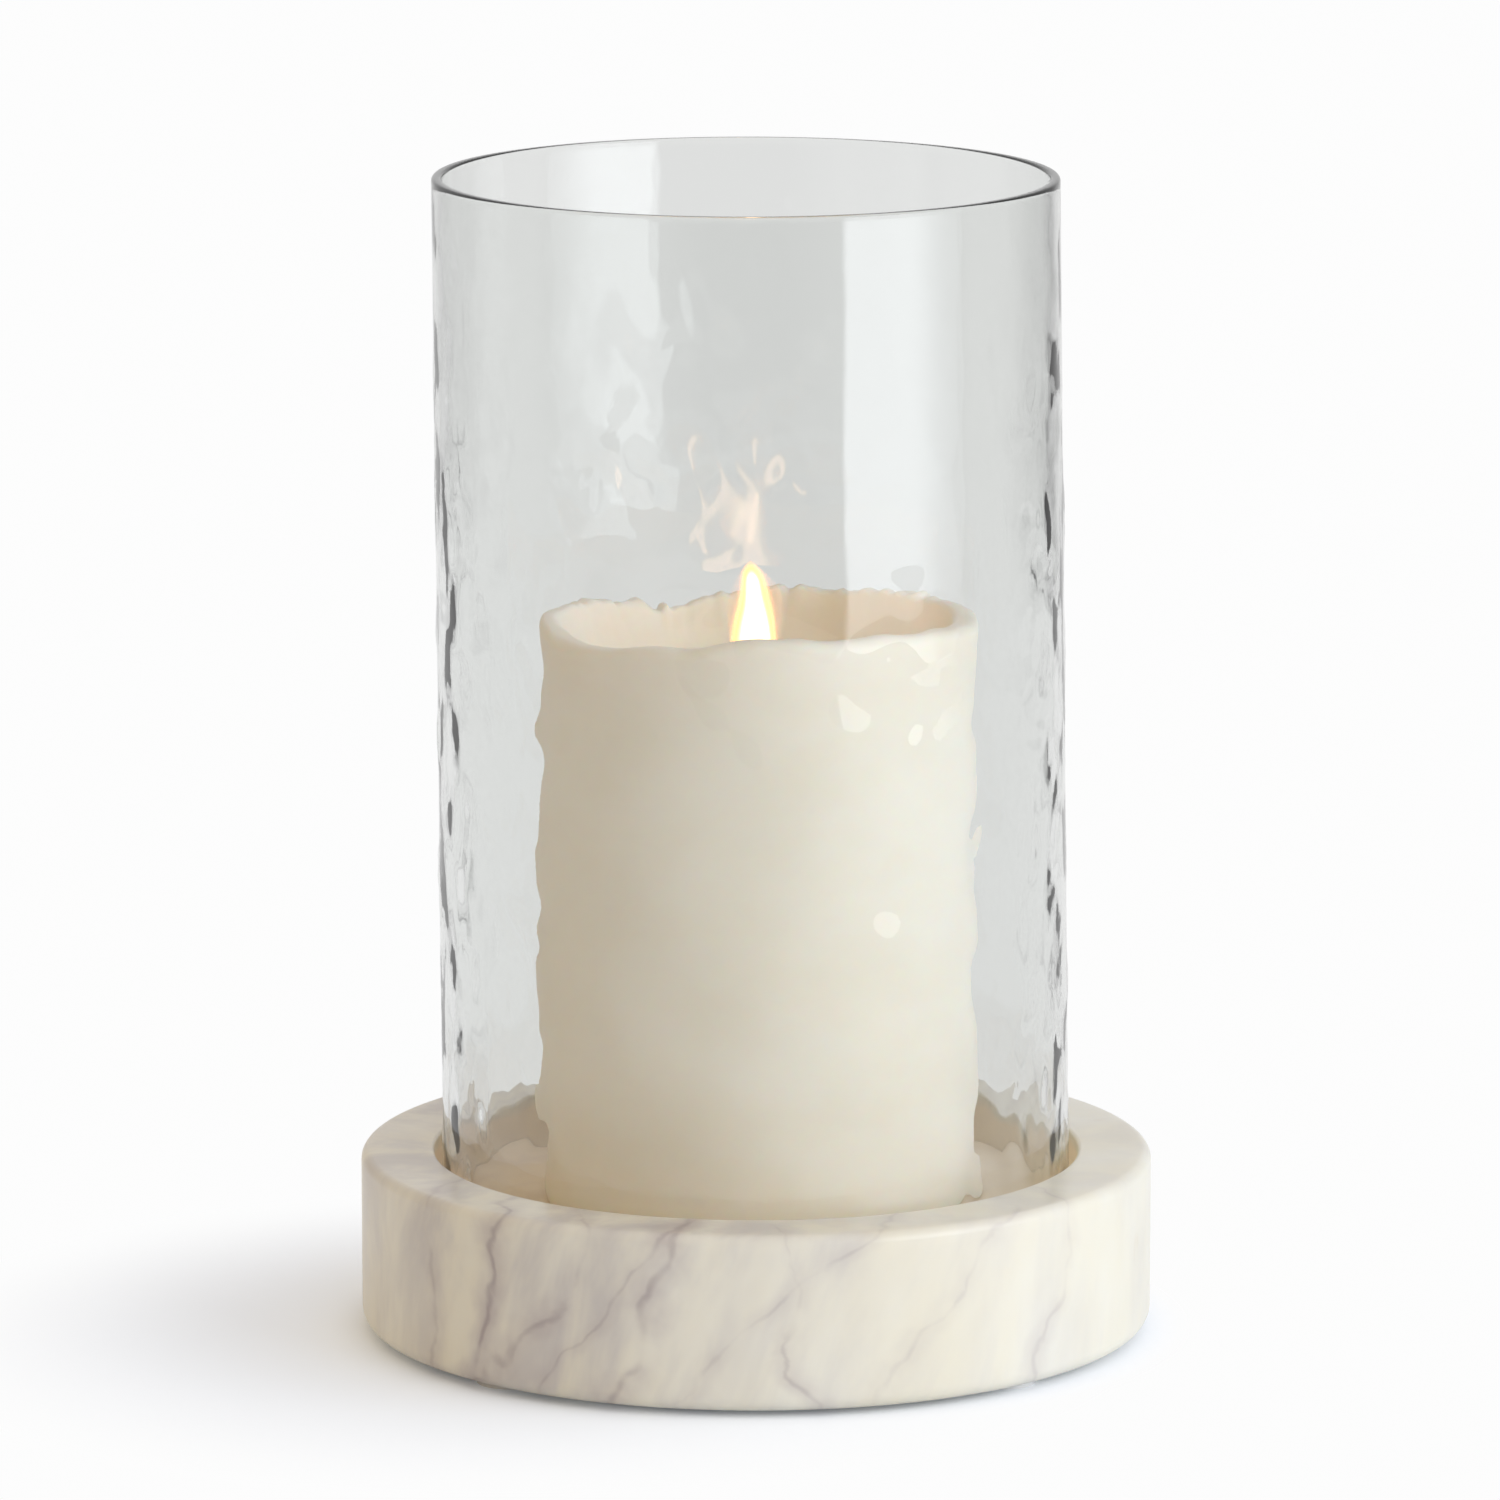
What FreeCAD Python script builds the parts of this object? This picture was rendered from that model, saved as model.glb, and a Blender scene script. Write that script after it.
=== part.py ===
import FreeCAD, Part
import math
import os
import re

import Sketcher
from FreeCAD import Placement, Rotation, Vector

# Hurricane candle lantern: a clear glass cylinder stands in the recess of a round stone base,
# round a flameless wax pillar candle whose flame tip sways on a wire.
# Millimetres, +Z up, origin on the table under the middle of the base, front towards -Y.

SIZES = [
    # Stone base and the pads under it.
    ("base_diameter", 184, "stone base, across"),
    ("base_height", 41, "stone base, without its pads"),
    ("base_top_round", 2.5, "rounding of the base's upper edge"),
    ("base_foot_round", 4, "rounding of the base's lower edge"),
    ("recess_diameter", 150, "recess that holds the glass"),
    ("recess_depth", 10.5, "recess, below the top of the base"),
    ("recess_edge_round", 1, "rounding of the recess's upper edge"),
    ("pad_diameter", 16, "bumper pad, across"),
    ("pad_thickness", 1.5, "bumper pad, height"),
    ("pad_inset", 1, "pad's edge to the end of the base's flat foot"),
    ("pad_count", 4, "pads round the foot"),
    # Glass.
    ("glass_side_gap", 2.5, "glass to the wall of the recess"),
    ("glass_wall", 2.4, "glass wall"),
    ("glass_height", 238, "glass cylinder, height"),
    ("glass_rim_round", 0.8, "rounding of the glass's edges"),
    # Wax shell.
    ("candle_diameter", 101.6, "wax pillar, across"),
    ("candle_height", 137, "wax pillar, foot to rim"),
    ("wax_wall", 7.5, "wax wall round the bore"),
    ("well_depth", 17.5, "rim to the floor of the well"),
    ("well_ledge", 2.3, "ledge over the deck's edge"),
    ("well_flare", 4.5, "how much the well widens towards the rim"),
    ("rim_outer_round", 2.6, "rounding of the rim, outside"),
    ("rim_inner_round", 1.6, "rounding of the rim, inside"),
    ("wax_foot_round", 1, "rounding of the wax at its foot"),
    # Chassis inside the wax.
    ("fit_gap", 0.3, "chassis and deck to the wax bore"),
    ("foot_recess", 2, "chassis above the foot of the wax"),
    ("flange_thickness", 6, "flange of the chassis"),
    ("tube_wall", 2, "wall of the chassis tube"),
    ("roof_thickness", 2.5, "wall over the cells"),
    # Cells and their contacts.
    ("cell_diameter", 26, "cell, across"),
    ("cell_length", 50, "cell, with its nub"),
    ("nub_diameter", 7.4, "nub of the cell, across"),
    ("nub_height", 1.6, "nub of the cell, height"),
    ("cell_gap", 1.2, "between the two cells"),
    ("spring_height", 6, "contact spring, pressed by the cell"),
    ("spring_wire", 0.9, "contact spring's wire"),
    ("spring_foot", 13, "contact spring at its wide end, centre line"),
    ("spring_tip", 7, "contact spring at its narrow end, centre line"),
    ("spring_turns", 3, "turns of a contact spring"),
    ("spring_gap", 0.05, "contact spring to the cell"),
    ("contact_thickness", 0.5, "contact sheet"),
    ("contact_length", 16, "contact plate, along X"),
    ("contact_width", 15, "contact plate, along Y"),
    ("tab_width", 3, "tab from a contact to the board"),
    ("tab_slot_gap", 0.4, "tab to its slot in the roof"),
    # Battery cover.
    ("cover_thickness", 2.8, "cover disc"),
    ("cover_play", 0.2, "cover to the chassis, upward"),
    ("cover_ledge", 3.4, "cover disc outside the bay"),
    ("turn_gap", 0.3, "gap round what turns"),
    ("collar_gap", 0.5, "cells to the collar"),
    ("collar_wall", 1.8, "collar on the cover"),
    ("collar_height", 5, "collar on the cover, height"),
    ("lug_reach", 1.6, "lug outside the collar"),
    ("lug_width", 6, "lug, along the collar"),
    ("lug_thickness", 1.4, "lug, height"),
    ("lug_lift", 1.3, "lug above the cover disc"),
    ("lug_play", 0.2, "lug in its slot, up and down"),
    ("lug_count", 3, "lugs round the collar"),
    ("lug_sweep", 15, "angle that one lug needs in the slot"),
    ("twist_angle", 30, "turn from locked to open"),
    ("coin_slot_length", 26, "slot across the cover"),
    ("coin_slot_width", 2.4, "slot across the cover"),
    ("coin_slot_depth", 1.2, "slot across the cover"),
    ("stake_diameter", 2.4, "post that holds the jumper"),
    ("stake_height", 0.8, "post above the jumper"),
    ("stake_gap", 0.05, "post to the jumper's hole"),
    # Circuit board.
    ("board_standoff", 3.5, "board above the roof"),
    ("board_thickness", 1.6, "board"),
    ("board_gap", 1.2, "board to the tube"),
    ("boss_diameter", 6, "boss under the board"),
    ("boss_inset", 1, "boss to the tube"),
    ("boss_count", 3, "bosses under the board"),
    ("screw_shank", 2.2, "screw, across"),
    ("screw_length", 5.5, "screw under its head"),
    ("screw_head", 4.2, "screw head, across"),
    ("screw_head_height", 1.6, "screw head"),
    ("screw_gap", 0.05, "screw to its hole"),
    ("chip_length", 8.6, "timer chip, along X"),
    ("chip_width", 4, "timer chip, along Y"),
    ("chip_height", 1.6, "timer chip"),
    ("chip_offset", 15, "timer chip in front of the middle"),
    ("capacitor_diameter", 6.3, "capacitor, across"),
    ("capacitor_height", 7.7, "capacitor"),
    ("capacitor_side", 15, "capacitor right of the middle"),
    ("capacitor_offset", 8, "capacitor in front of the middle"),
    ("resistor_length", 6.4, "resistor, along X"),
    ("resistor_diameter", 2.4, "resistor, across"),
    ("resistor_pitch", 4.2, "resistor to resistor"),
    ("resistor_side", 13.5, "resistors left of the middle"),
    ("resistor_offset", 6, "first resistor behind the middle"),
    ("resistor_count", 3, "resistors"),
    # Deck over the chassis and the flame on its wire.
    ("deck_thickness", 4, "deck under the well"),
    ("spigot_wall", 1.8, "ring under the deck, in the tube"),
    ("spigot_height", 2.5, "ring under the deck"),
    ("slot_side_gap", 0.7, "slot to the flame, along X"),
    ("slot_face_gap", 0.5, "slot to the magnet that passes it, along Y"),
    ("pivot_drop", 8, "wire below the floor of the well"),
    ("wire_diameter", 1, "pivot wire"),
    ("pivot_play", 0.06, "eye of the flame to the wire, each side"),
    ("flame_height", 29.5, "flame above the floor of the well"),
    ("flame_width", 12.6, "flame at its widest"),
    ("flame_thickness", 2.8, "flame at its thickest"),
    ("tail_width", 7, "tail of the flame, along X"),
    ("tail_thickness", 2.4, "tail of the flame, along Y"),
    ("tail_length", 12, "tail below the wire"),
    ("magnet_diameter", 7.5, "magnet under the tail"),
    ("magnet_height", 4, "magnet under the tail"),
    ("coil_gap", 1.2, "magnet to the bobbin"),
    # Carrier, bobbin and coil.
    ("bobbin_diameter", 16, "bobbin, across its flanges"),
    ("bobbin_height", 7.5, "bobbin"),
    ("bobbin_flange", 1, "flange of the bobbin"),
    ("bobbin_core", 7, "core of the bobbin"),
    ("bobbin_bore", 4, "bore of the bobbin"),
    ("coil_inset", 0.7, "coil inside the flanges"),
    ("winding_gap", 0.1, "coil to the bobbin"),
    ("carrier_gap", 0.5, "bobbin to the cheeks"),
    ("carrier_wall", 2.5, "cheeks and ears of the carrier"),
    ("carrier_floor", 2, "floor of the carrier"),
    ("carrier_width", 18, "cheeks, along X"),
    ("ear_length", 8, "ear outside the cheeks"),
    ("hub_diameter", 4.4, "hub round the wire"),
    ("hub_gap", 0.6, "hub to the flame's tail"),
    ("wire_fit", 0.02, "pivot wire in the carrier, each side"),
    # Lamp that lights the flame.
    ("lamp_diameter", 5, "lamp, across"),
    ("lamp_length", 8.4, "lamp in front of its rim, with its dome"),
    ("lamp_rim", 0.4, "rim of the lamp outside its body"),
    ("lamp_rim_height", 1, "rim of the lamp"),
    ("lamp_gap", 0.15, "lamp to its sleeve"),
    ("lamp_tilt", 45, "lamp's lean towards the flame"),
    ("lamp_offset", 15, "lamp's mouth in front of the flame"),
    ("sleeve_wall", 2, "sleeve round the lamp"),
    ("sleeve_margin", 0.6, "sleeve's end below the deck"),
    ("lead_diameter", 0.5, "lead of the lamp"),
    ("lead_pitch", 2.54, "lead to lead"),
    ("lead_length", 5, "lead behind the lamp"),
    # Switch under the flange.
    ("switch_radius", 38, "switch from the candle's axis"),
    ("switch_length", 8.6, "switch, along its slide"),
    ("switch_width", 3.7, "switch, across its slide"),
    ("switch_height", 3.6, "switch"),
    ("switch_gap", 0.2, "switch to its pocket"),
    ("switch_floor", 2, "flange under the switch"),
    ("knob_length", 2, "knob, along its slide"),
    ("knob_width", 1.6, "knob, across its slide"),
    ("knob_proud", 1.3, "knob below the flange"),
    ("knob_root", 1, "knob inside the switch"),
    ("knob_gap", 0.3, "knob to its slot"),
    ("knob_travel", 2, "knob's travel each way"),
    # Wires inside the candle.
    ("cable_diameter", 1.2, "insulated wire"),
    ("cable_bend", 2.5, "bend of an insulated wire"),
    ("cable_pitch", 3, "switch wire to switch wire"),
    ("cable_port", 6, "port in the tube for the switch wires"),
    ("cable_rise", 5, "switch wires above the board where they turn in"),
    ("cable_run", 8, "switch wires inside the tube"),
    ("cable_clear", 1, "lamp wires to the head of the board screw"),
    ("cable_drop", 8, "lamp wires, upright above the board"),
    ("cable_lead", 2, "lamp wires before they bend down"),
    ("coil_lead_diameter", 0.5, "wire from the coil"),
    ("coil_lead_out", 2.5, "coil wire outside the bobbin"),
]

ALIASES = {alias for alias, number, meaning in SIZES}

doc = FreeCAD.newDocument("candle_lantern")
sheet = doc.addObject("Spreadsheet::Sheet", "Sizes")
for row, (alias, number, meaning) in enumerate(SIZES, start=1):
    sheet.set(f"A{row}", meaning)
    sheet.set(f"B{row}", str(number))
    sheet.setAlias(f"B{row}", alias)
doc.recompute()

nodes = []


def bound(text):
    """The expression with each size's name pointed at its cell."""
    return re.sub(r"[a-z_]+", lambda m: "Sizes." + m.group() if m.group() in ALIASES else m.group(), text)


def value(text):
    """The number that an expression in the sizes comes to."""
    return float(sheet.evalExpression(bound(text)))


def bind(item, sizes):
    """Tie properties of an object to expressions in the sizes."""
    for name, text in sizes.items():
        item.setExpression(name, bound(text))


def place(item, at=("0", "0", "0"), axis=None, turn=None):
    """Put an object at a point, turned about an axis, both from the sizes."""
    if axis:
        item.Placement = Placement(Vector(0, 0, 0), Rotation(axis, value(turn)))
        item.setExpression("Placement.Rotation.Angle", bound(turn))
    for letter, text in zip("xyz", at):
        if text != "0":
            item.setExpression("Placement.Base." + letter, bound(text))


def keep(item, label):
    """Count an object as one of the sub-parts, under the label that names its file."""
    item.Label = label
    nodes.append(item)
    return item


def new_body(label, up):
    """A body of its own that stands at a height above the table."""
    body = doc.addObject("PartDesign::Body", label)
    place(body, ("0", "0", up))
    return keep(body, label)


def origin_item(body, role):
    """A plane or an axis of a body's origin, found by its role."""
    return next(item for item in body.Origin.OriginFeatures if item.Role == role)


def outline(body, name, corners):
    """A closed outline in a body's XZ plane, each corner tied to two expressions."""
    sketch = body.newObject("Sketcher::SketchObject", name)
    sketch.AttachmentSupport = (origin_item(body, "XZ_Plane"), [""])
    sketch.MapMode = "FlatFace"
    points = [Vector(value(across), value(up), 0) for across, up in corners]
    for start, end in zip(points, points[1:] + points[:1]):
        sketch.addGeometry(Part.LineSegment(start, end), False)
    for index in range(len(points)):
        sketch.addConstraint(Sketcher.Constraint("Coincident", index, 2, (index + 1) % len(points), 1))
    for index, (corner, point) in enumerate(zip(corners, points)):
        for kind, text, number in zip(("DistanceX", "DistanceY"), corner, (point.x, point.y)):
            made = sketch.addConstraint(Sketcher.Constraint(kind, -1, 1, index, 1, number))
            sketch.renameConstraint(made, f"{kind}_{index}")
            sketch.setExpression(f"Constraints.{kind}_{index}", bound(text))
    return sketch


def revolve(body, name, corners):
    """A full turn of an outline about the body's Z axis."""
    sketch = outline(body, name + "_outline", corners)
    feature = body.newObject("PartDesign::Revolution", name)
    feature.Profile = sketch
    feature.ReferenceAxis = (sketch, ["V_Axis"])
    feature.Angle = 360
    doc.recompute()
    return feature


def primitive(body, kind, name, sizes, at=("0", "0", "0"), axis=None, turn=None):
    """A primitive added to a body or cut from it."""
    feature = body.newObject("PartDesign::" + kind, name)
    bind(feature, sizes)
    place(feature, at, axis, turn)
    return feature


def block(body, kind, name, spans):
    """A box added to a body or cut from it, from the start and the length along X, Y and Z."""
    sizes = dict(zip(("Length", "Width", "Height"), (length for start, length in spans)))
    return primitive(body, kind, name, sizes, tuple(start for start, length in spans))


def round_edges(body, name, radius, diameter, up):
    """Round the circular edges of a body that have a diameter and a height."""
    base = body.Tip
    wide = value(diameter)
    level = value(up)
    names = []
    for number, edge in enumerate(base.Shape.Edges, start=1):
        if not isinstance(edge.Curve, Part.Circle):
            continue
        if abs(2 * edge.Curve.Radius - wide) < 1e-4 and abs(edge.Curve.Center.z - level) < 1e-4:
            names.append(f"Edge{number}")
    feature = body.newObject("PartDesign::Fillet", name)
    feature.Base = (base, names)
    bind(feature, {"Radius": radius})
    doc.recompute()
    return feature


def ring_of(body, name, features, count, about="Z_Axis"):
    """Repeat features of a body round its Z axis."""
    pattern = body.newObject("PartDesign::PolarPattern", name)
    pattern.Originals = features
    pattern.Axis = (origin_item(body, about), [""])
    pattern.Angle = 360
    bind(pattern, {"Occurrences": count})
    body.Tip = pattern
    doc.recompute()
    return pattern


def loose(kind, name, sizes, at=("0", "0", "0"), axis=None, turn=None):
    """A primitive that stands by itself in the document."""
    item = doc.addObject("Part::" + kind, name)
    bind(item, sizes)
    place(item, at, axis, turn)
    return item


def group(label, items):
    """Separate solids that share one sub-part."""
    compound = doc.addObject("Part::Compound", label)
    compound.Links = items
    return keep(compound, label)


def tube_along(points, bend, radius):
    """A round wire along straight runs whose corners are bent to one radius."""
    edges = []
    start = points[0]
    for before, corner, after in zip(points, points[1:], points[2:]):
        back = (before - corner).normalize()
        ahead = (after - corner).normalize()
        half = back.getAngle(ahead) / 2
        reach = bend / math.tan(half)
        middle = (back + ahead).normalize()
        centre = corner + middle * (bend ** 2 + reach ** 2) ** 0.5
        first = corner + back * reach
        last = corner + ahead * reach
        edges.append(Part.makeLine(start, first))
        edges.append(Part.Arc(first, centre - middle * bend, last).toShape())
        start = last
    edges.append(Part.makeLine(start, points[-1]))
    path = Part.Wire(edges)
    section = Part.Wire(Part.makeCircle(radius, points[0], points[1] - points[0]))
    return path.makePipeShell([section], True, True)


# Heights above the table and, inside the candle, above its foot.
SEAT = "(pad_thickness + base_height - recess_depth)"
COVER_TOP = "(foot_recess + cover_thickness)"
POCKET_TOP = f"({COVER_TOP} + cover_play)"
FLANGE_TOP = "(foot_recess + flange_thickness)"
JUMPER_TOP = f"({COVER_TOP} + contact_thickness)"
CELLS_TOP = f"({JUMPER_TOP} + spring_height + cell_length)"
ROOF = f"({CELLS_TOP} + contact_thickness)"
ROOF_TOP = f"({ROOF} + roof_thickness)"
BOARD = f"({ROOF_TOP} + board_standoff)"
BOARD_TOP = f"({BOARD} + board_thickness)"
WELL_FLOOR = "(candle_height - well_depth)"
DECK = f"({WELL_FLOOR} - deck_thickness)"
PIVOT = f"({WELL_FLOOR} - pivot_drop)"
TAIL_END = f"({PIVOT} - tail_length)"
MAGNET_END = f"({TAIL_END} - magnet_height)"
BOBBIN_TOP = f"({MAGNET_END} - coil_gap)"
BOBBIN = f"({BOBBIN_TOP} - bobbin_height)"
CARRIER = f"({BOBBIN} - carrier_floor)"
SWITCH = "(foot_recess + switch_floor)"

# Distances from the axis.
CELL_AXIS = "(cell_diameter / 2 + cell_gap / 2)"
COLLAR_BORE = "(cell_diameter + cell_gap / 2 + collar_gap)"
COLLAR = f"({COLLAR_BORE} + collar_wall)"
BAY = f"({COLLAR} + turn_gap)"
TUBE = f"({BAY} + tube_wall)"
COVER = f"({BAY} + cover_ledge)"
WAX = "(candle_diameter / 2)"
BORE = f"({WAX} - wax_wall)"
INNER = f"({BORE} - fit_gap)"
WELL = f"({BORE} - well_ledge)"
MOUTH = f"({WELL} + well_flare)"
GLASS = "(recess_diameter / 2 - glass_side_gap)"
GLASS_BORE = f"({GLASS} - glass_wall)"
PAD_CIRCLE = "(base_diameter / 2 - base_foot_round - pad_inset - pad_diameter / 2)"
BOSS_CIRCLE = f"({BAY} - boss_inset - boss_diameter / 2)"
CHEEK = "(bobbin_diameter / 2 + carrier_gap)"
CHEEK_OUTSIDE = f"({CHEEK} + carrier_wall)"
EAR_SCREW = "(carrier_width / 2 + ear_length / 2)"
TAB = f"({CELL_AXIS} + contact_length / 2 - contact_thickness)"

# Stone base: a thick disc with a round recess and softened edges.
base = new_body("marble_base", "pad_thickness")
revolve(base, "stone", [
    ("0", "0"),
    ("base_diameter / 2", "0"),
    ("base_diameter / 2", "base_height"),
    ("recess_diameter / 2", "base_height"),
    ("recess_diameter / 2", "base_height - recess_depth"),
    ("0", "base_height - recess_depth"),
])
round_edges(base, "foot_edge", "base_foot_round", "base_diameter", "0")
round_edges(base, "top_edge", "base_top_round", "base_diameter", "base_height")
round_edges(base, "recess_edge", "recess_edge_round", "recess_diameter", "base_height")

# Bumper pads: discs stuck under the foot of the base, halfway between front and side.
pads = []
for number in range(int(value("pad_count"))):
    pad = loose("Cylinder", f"pad_{number}", {"Radius": "pad_diameter / 2", "Height": "pad_thickness"})
    bearing = f"360 deg * ({number} + 0.5) / pad_count"
    place(pad, (f"{PAD_CIRCLE} * cos({bearing})", f"{PAD_CIRCLE} * sin({bearing})", "0"))
    pads.append(pad)
group("base_pads", pads)

# Glass: an open cylinder, its cut edges polished round.
glass = new_body("glass_cylinder", SEAT)
revolve(glass, "wall", [
    (GLASS_BORE, "0"),
    (GLASS, "0"),
    (GLASS, "glass_height"),
    (GLASS_BORE, "glass_height"),
])
round_edges(glass, "rim_outside", "glass_rim_round", f"2 * {GLASS}", "glass_height")
round_edges(glass, "rim_inside", "glass_rim_round", f"2 * {GLASS_BORE}", "glass_height")

# Wax shell: bored from below up to a ledge, with an open well in its top.
wax = new_body("wax_shell", SEAT)
revolve(wax, "pillar", [
    (BORE, "0"),
    (WAX, "0"),
    (WAX, "candle_height"),
    (MOUTH, "candle_height"),
    (WELL, WELL_FLOOR),
    (BORE, WELL_FLOOR),
])
round_edges(wax, "rim_outside", "rim_outer_round", f"2 * {WAX}", "candle_height")
round_edges(wax, "rim_inside", "rim_inner_round", f"2 * {MOUTH}", "candle_height")
round_edges(wax, "foot_edge", "wax_foot_round", f"2 * {WAX}", "0")

# Chassis: flange, tube and the wall over the cells, with bosses for the board.
chassis = new_body("candle_chassis", SEAT)
revolve(chassis, "frame", [
    (f"{COVER} + turn_gap", "foot_recess"),
    (INNER, "foot_recess"),
    (INNER, FLANGE_TOP),
    (TUBE, FLANGE_TOP),
    (TUBE, DECK),
    (BAY, DECK),
    (BAY, ROOF_TOP),
    ("0", ROOF_TOP),
    ("0", ROOF),
    (BAY, ROOF),
    (BAY, POCKET_TOP),
    (f"{COVER} + turn_gap", POCKET_TOP),
])
boss = primitive(chassis, "AdditiveCylinder", "boss",
                 {"Radius": "boss_diameter / 2", "Height": "board_standoff + roof_thickness / 2"},
                 ("0", f"-{BOSS_CIRCLE}", f"{ROOF_TOP} - roof_thickness / 2"))
ring_of(chassis, "bosses", [boss], "boss_count")
boss_hole = primitive(chassis, "SubtractiveCylinder", "boss_hole",
                      {"Radius": "screw_shank / 2 + screw_gap", "Height": "screw_length"},
                      ("0", f"-{BOSS_CIRCLE}", f"{BOARD_TOP} - screw_length"))
ring_of(chassis, "boss_holes", [boss_hole], "boss_count")
lug_bottom = f"({COVER_TOP} + lug_lift - lug_play)"
lug_room = "(lug_thickness + 2 * lug_play)"
lug_slot = primitive(chassis, "SubtractiveCylinder", "lug_slot",
                     {"Radius": f"{BAY} + lug_reach + turn_gap", "Height": lug_room,
                      "Angle": "twist_angle + lug_sweep"},
                     ("0", "0", lug_bottom), Vector(0, 0, 1), "-lug_sweep / 2")
lug_entry = primitive(chassis, "SubtractiveCylinder", "lug_entry",
                      {"Radius": f"{BAY} + lug_reach + turn_gap / 2",
                       "Height": f"{lug_bottom} + lug_play - {COVER_TOP}",
                       "Angle": "lug_sweep - 1"},
                      ("0", "0", COVER_TOP), Vector(0, 0, 1), "twist_angle - lug_sweep / 2 + 0.5")
ring_of(chassis, "lug_slots", [lug_slot, lug_entry], "lug_count")
for side, sign in (("left", "-"), ("right", "")):
    block(chassis, "SubtractiveBox", f"tab_slot_{side}", [
        (f"{sign}({TAB} + contact_thickness / 2) - contact_thickness / 2 - tab_slot_gap",
         "contact_thickness + 2 * tab_slot_gap"),
        ("-tab_width / 2 - tab_slot_gap", "tab_width + 2 * tab_slot_gap"),
        (ROOF, "roof_thickness"),
    ])
block(chassis, "SubtractiveBox", "switch_pocket", [
    ("-switch_length / 2 - switch_gap", "switch_length + 2 * switch_gap"),
    ("switch_radius - switch_width / 2 - switch_gap", "switch_width + 2 * switch_gap"),
    (SWITCH, f"{FLANGE_TOP} - {SWITCH}"),
])
block(chassis, "SubtractiveBox", "knob_slot", [
    ("-knob_length / 2 - knob_travel - knob_gap", "knob_length + 2 * knob_travel + 2 * knob_gap"),
    ("switch_radius - knob_width / 2 - knob_gap", "knob_width + 2 * knob_gap"),
    ("foot_recess", "switch_floor"),
])
block(chassis, "SubtractiveBox", "wire_port", [
    ("-cable_port / 2", "cable_port"),
    (f"{BAY} - tube_wall", "3 * tube_wall"),
    (f"{BOARD_TOP} + cable_rise - cable_port / 4", "cable_port / 2"),
])

# Battery cover: a disc with a collar whose lugs lock in the chassis, and a slot for a coin.
cover = new_body("battery_cover", SEAT)
revolve(cover, "disc", [
    ("0", "foot_recess"),
    (COVER, "foot_recess"),
    (COVER, COVER_TOP),
    (COLLAR, COVER_TOP),
    (COLLAR, f"{COVER_TOP} + collar_height"),
    (COLLAR_BORE, f"{COVER_TOP} + collar_height"),
    (COLLAR_BORE, COVER_TOP),
    ("0", COVER_TOP),
])
lug = block(cover, "AdditiveBox", "lug", [
    (f"{COLLAR} - collar_wall / 2", "collar_wall / 2 + lug_reach"),
    ("-lug_width / 2", "lug_width"),
    (f"{COVER_TOP} + lug_lift", "lug_thickness"),
])
ring_of(cover, "lugs", [lug], "lug_count")
for side, sign in (("left", "-"), ("right", "")):
    primitive(cover, "AdditiveCylinder", f"stake_{side}",
              {"Radius": "stake_diameter / 2", "Height": "contact_thickness + stake_height"},
              (f"{sign}({CELL_AXIS} - contact_length / 2 - stake_diameter)", "0", COVER_TOP))
block(cover, "SubtractiveBox", "coin_slot", [
    ("-coin_slot_length / 2", "coin_slot_length"),
    ("-coin_slot_width / 2", "coin_slot_width"),
    ("foot_recess", "coin_slot_depth"),
])

# Jumper on the cover: it joins the two cells, with a spring at one end.
jumper = new_body("cover_jumper", SEAT)
block(jumper, "AdditiveBox", "strip", [
    (f"-{CELL_AXIS} - contact_length / 2", f"2 * {CELL_AXIS} + contact_length"),
    ("-contact_width / 2", "contact_width"),
    (COVER_TOP, "contact_thickness"),
])
for side, sign in (("left", "-"), ("right", "")):
    primitive(jumper, "SubtractiveCylinder", f"stake_hole_{side}",
              {"Radius": "stake_diameter / 2 + stake_gap", "Height": "contact_thickness"},
              (f"{sign}({CELL_AXIS} - contact_length / 2 - stake_diameter)", "0", COVER_TOP))

# Contacts under the roof: a plate over each cell and a tab up to the board.
for label, sign in (("positive_contact", "-"), ("negative_contact", "")):
    contact = new_body(label, SEAT)
    block(contact, "AdditiveBox", "plate", [
        (f"{sign}{CELL_AXIS} - contact_length / 2", "contact_length"),
        ("-contact_width / 2", "contact_width"),
        (CELLS_TOP, "contact_thickness"),
    ])
    block(contact, "AdditiveBox", "tab", [
        (f"{sign}({TAB} + contact_thickness / 2) - contact_thickness / 2", "contact_thickness"),
        ("-tab_width / 2", "tab_width"),
        (CELLS_TOP, f"{BOARD} - {CELLS_TOP}"),
    ])


# Contact springs: a cone of wire turns from the sheet to the flat end of a cell.
def arc_from(start, heading, end):
    """The arc that leaves a point along a direction and ends at another point."""
    chord = end - start
    radius = chord.Length / 2 / math.sin(heading.getAngle(chord))
    centre = start + heading.cross(chord).cross(heading).normalize() * radius
    middle = centre + (start + chord / 2 - centre).normalize() * radius
    return Part.Arc(start, middle, end).toShape()


def biarc(start, heading, end, arrival):
    """Two arcs that meet smoothly, from one point and direction to another."""
    chord = end - start
    along = chord.dot(heading + arrival)
    turning = 2 * (1 - heading.dot(arrival))
    reach = ((along ** 2 + turning * chord.dot(chord)) ** 0.5 - along) / turning
    first = start + heading * reach
    last = end - arrival * reach
    joint = (first + last) / 2
    return [arc_from(start, heading, joint), arc_from(joint, (last - first).normalize(), end)]


def cone_stations(foot, tip, rise, turns):
    """Points and headings at each quarter turn of a helix that narrows as it climbs."""
    quarters = round(4 * turns)
    for number in range(quarters + 1):
        share = number / quarters
        angle = 2 * math.pi * turns * share
        outward = Vector(math.cos(angle), math.sin(angle), 0)
        sideways = Vector(-math.sin(angle), math.cos(angle), 0)
        radius = foot + (tip - foot) * share
        climb = outward * (tip - foot) + sideways * (2 * math.pi * turns * radius) + Vector(0, 0, rise)
        yield outward * radius + Vector(0, 0, rise * share), climb.normalize()


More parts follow.
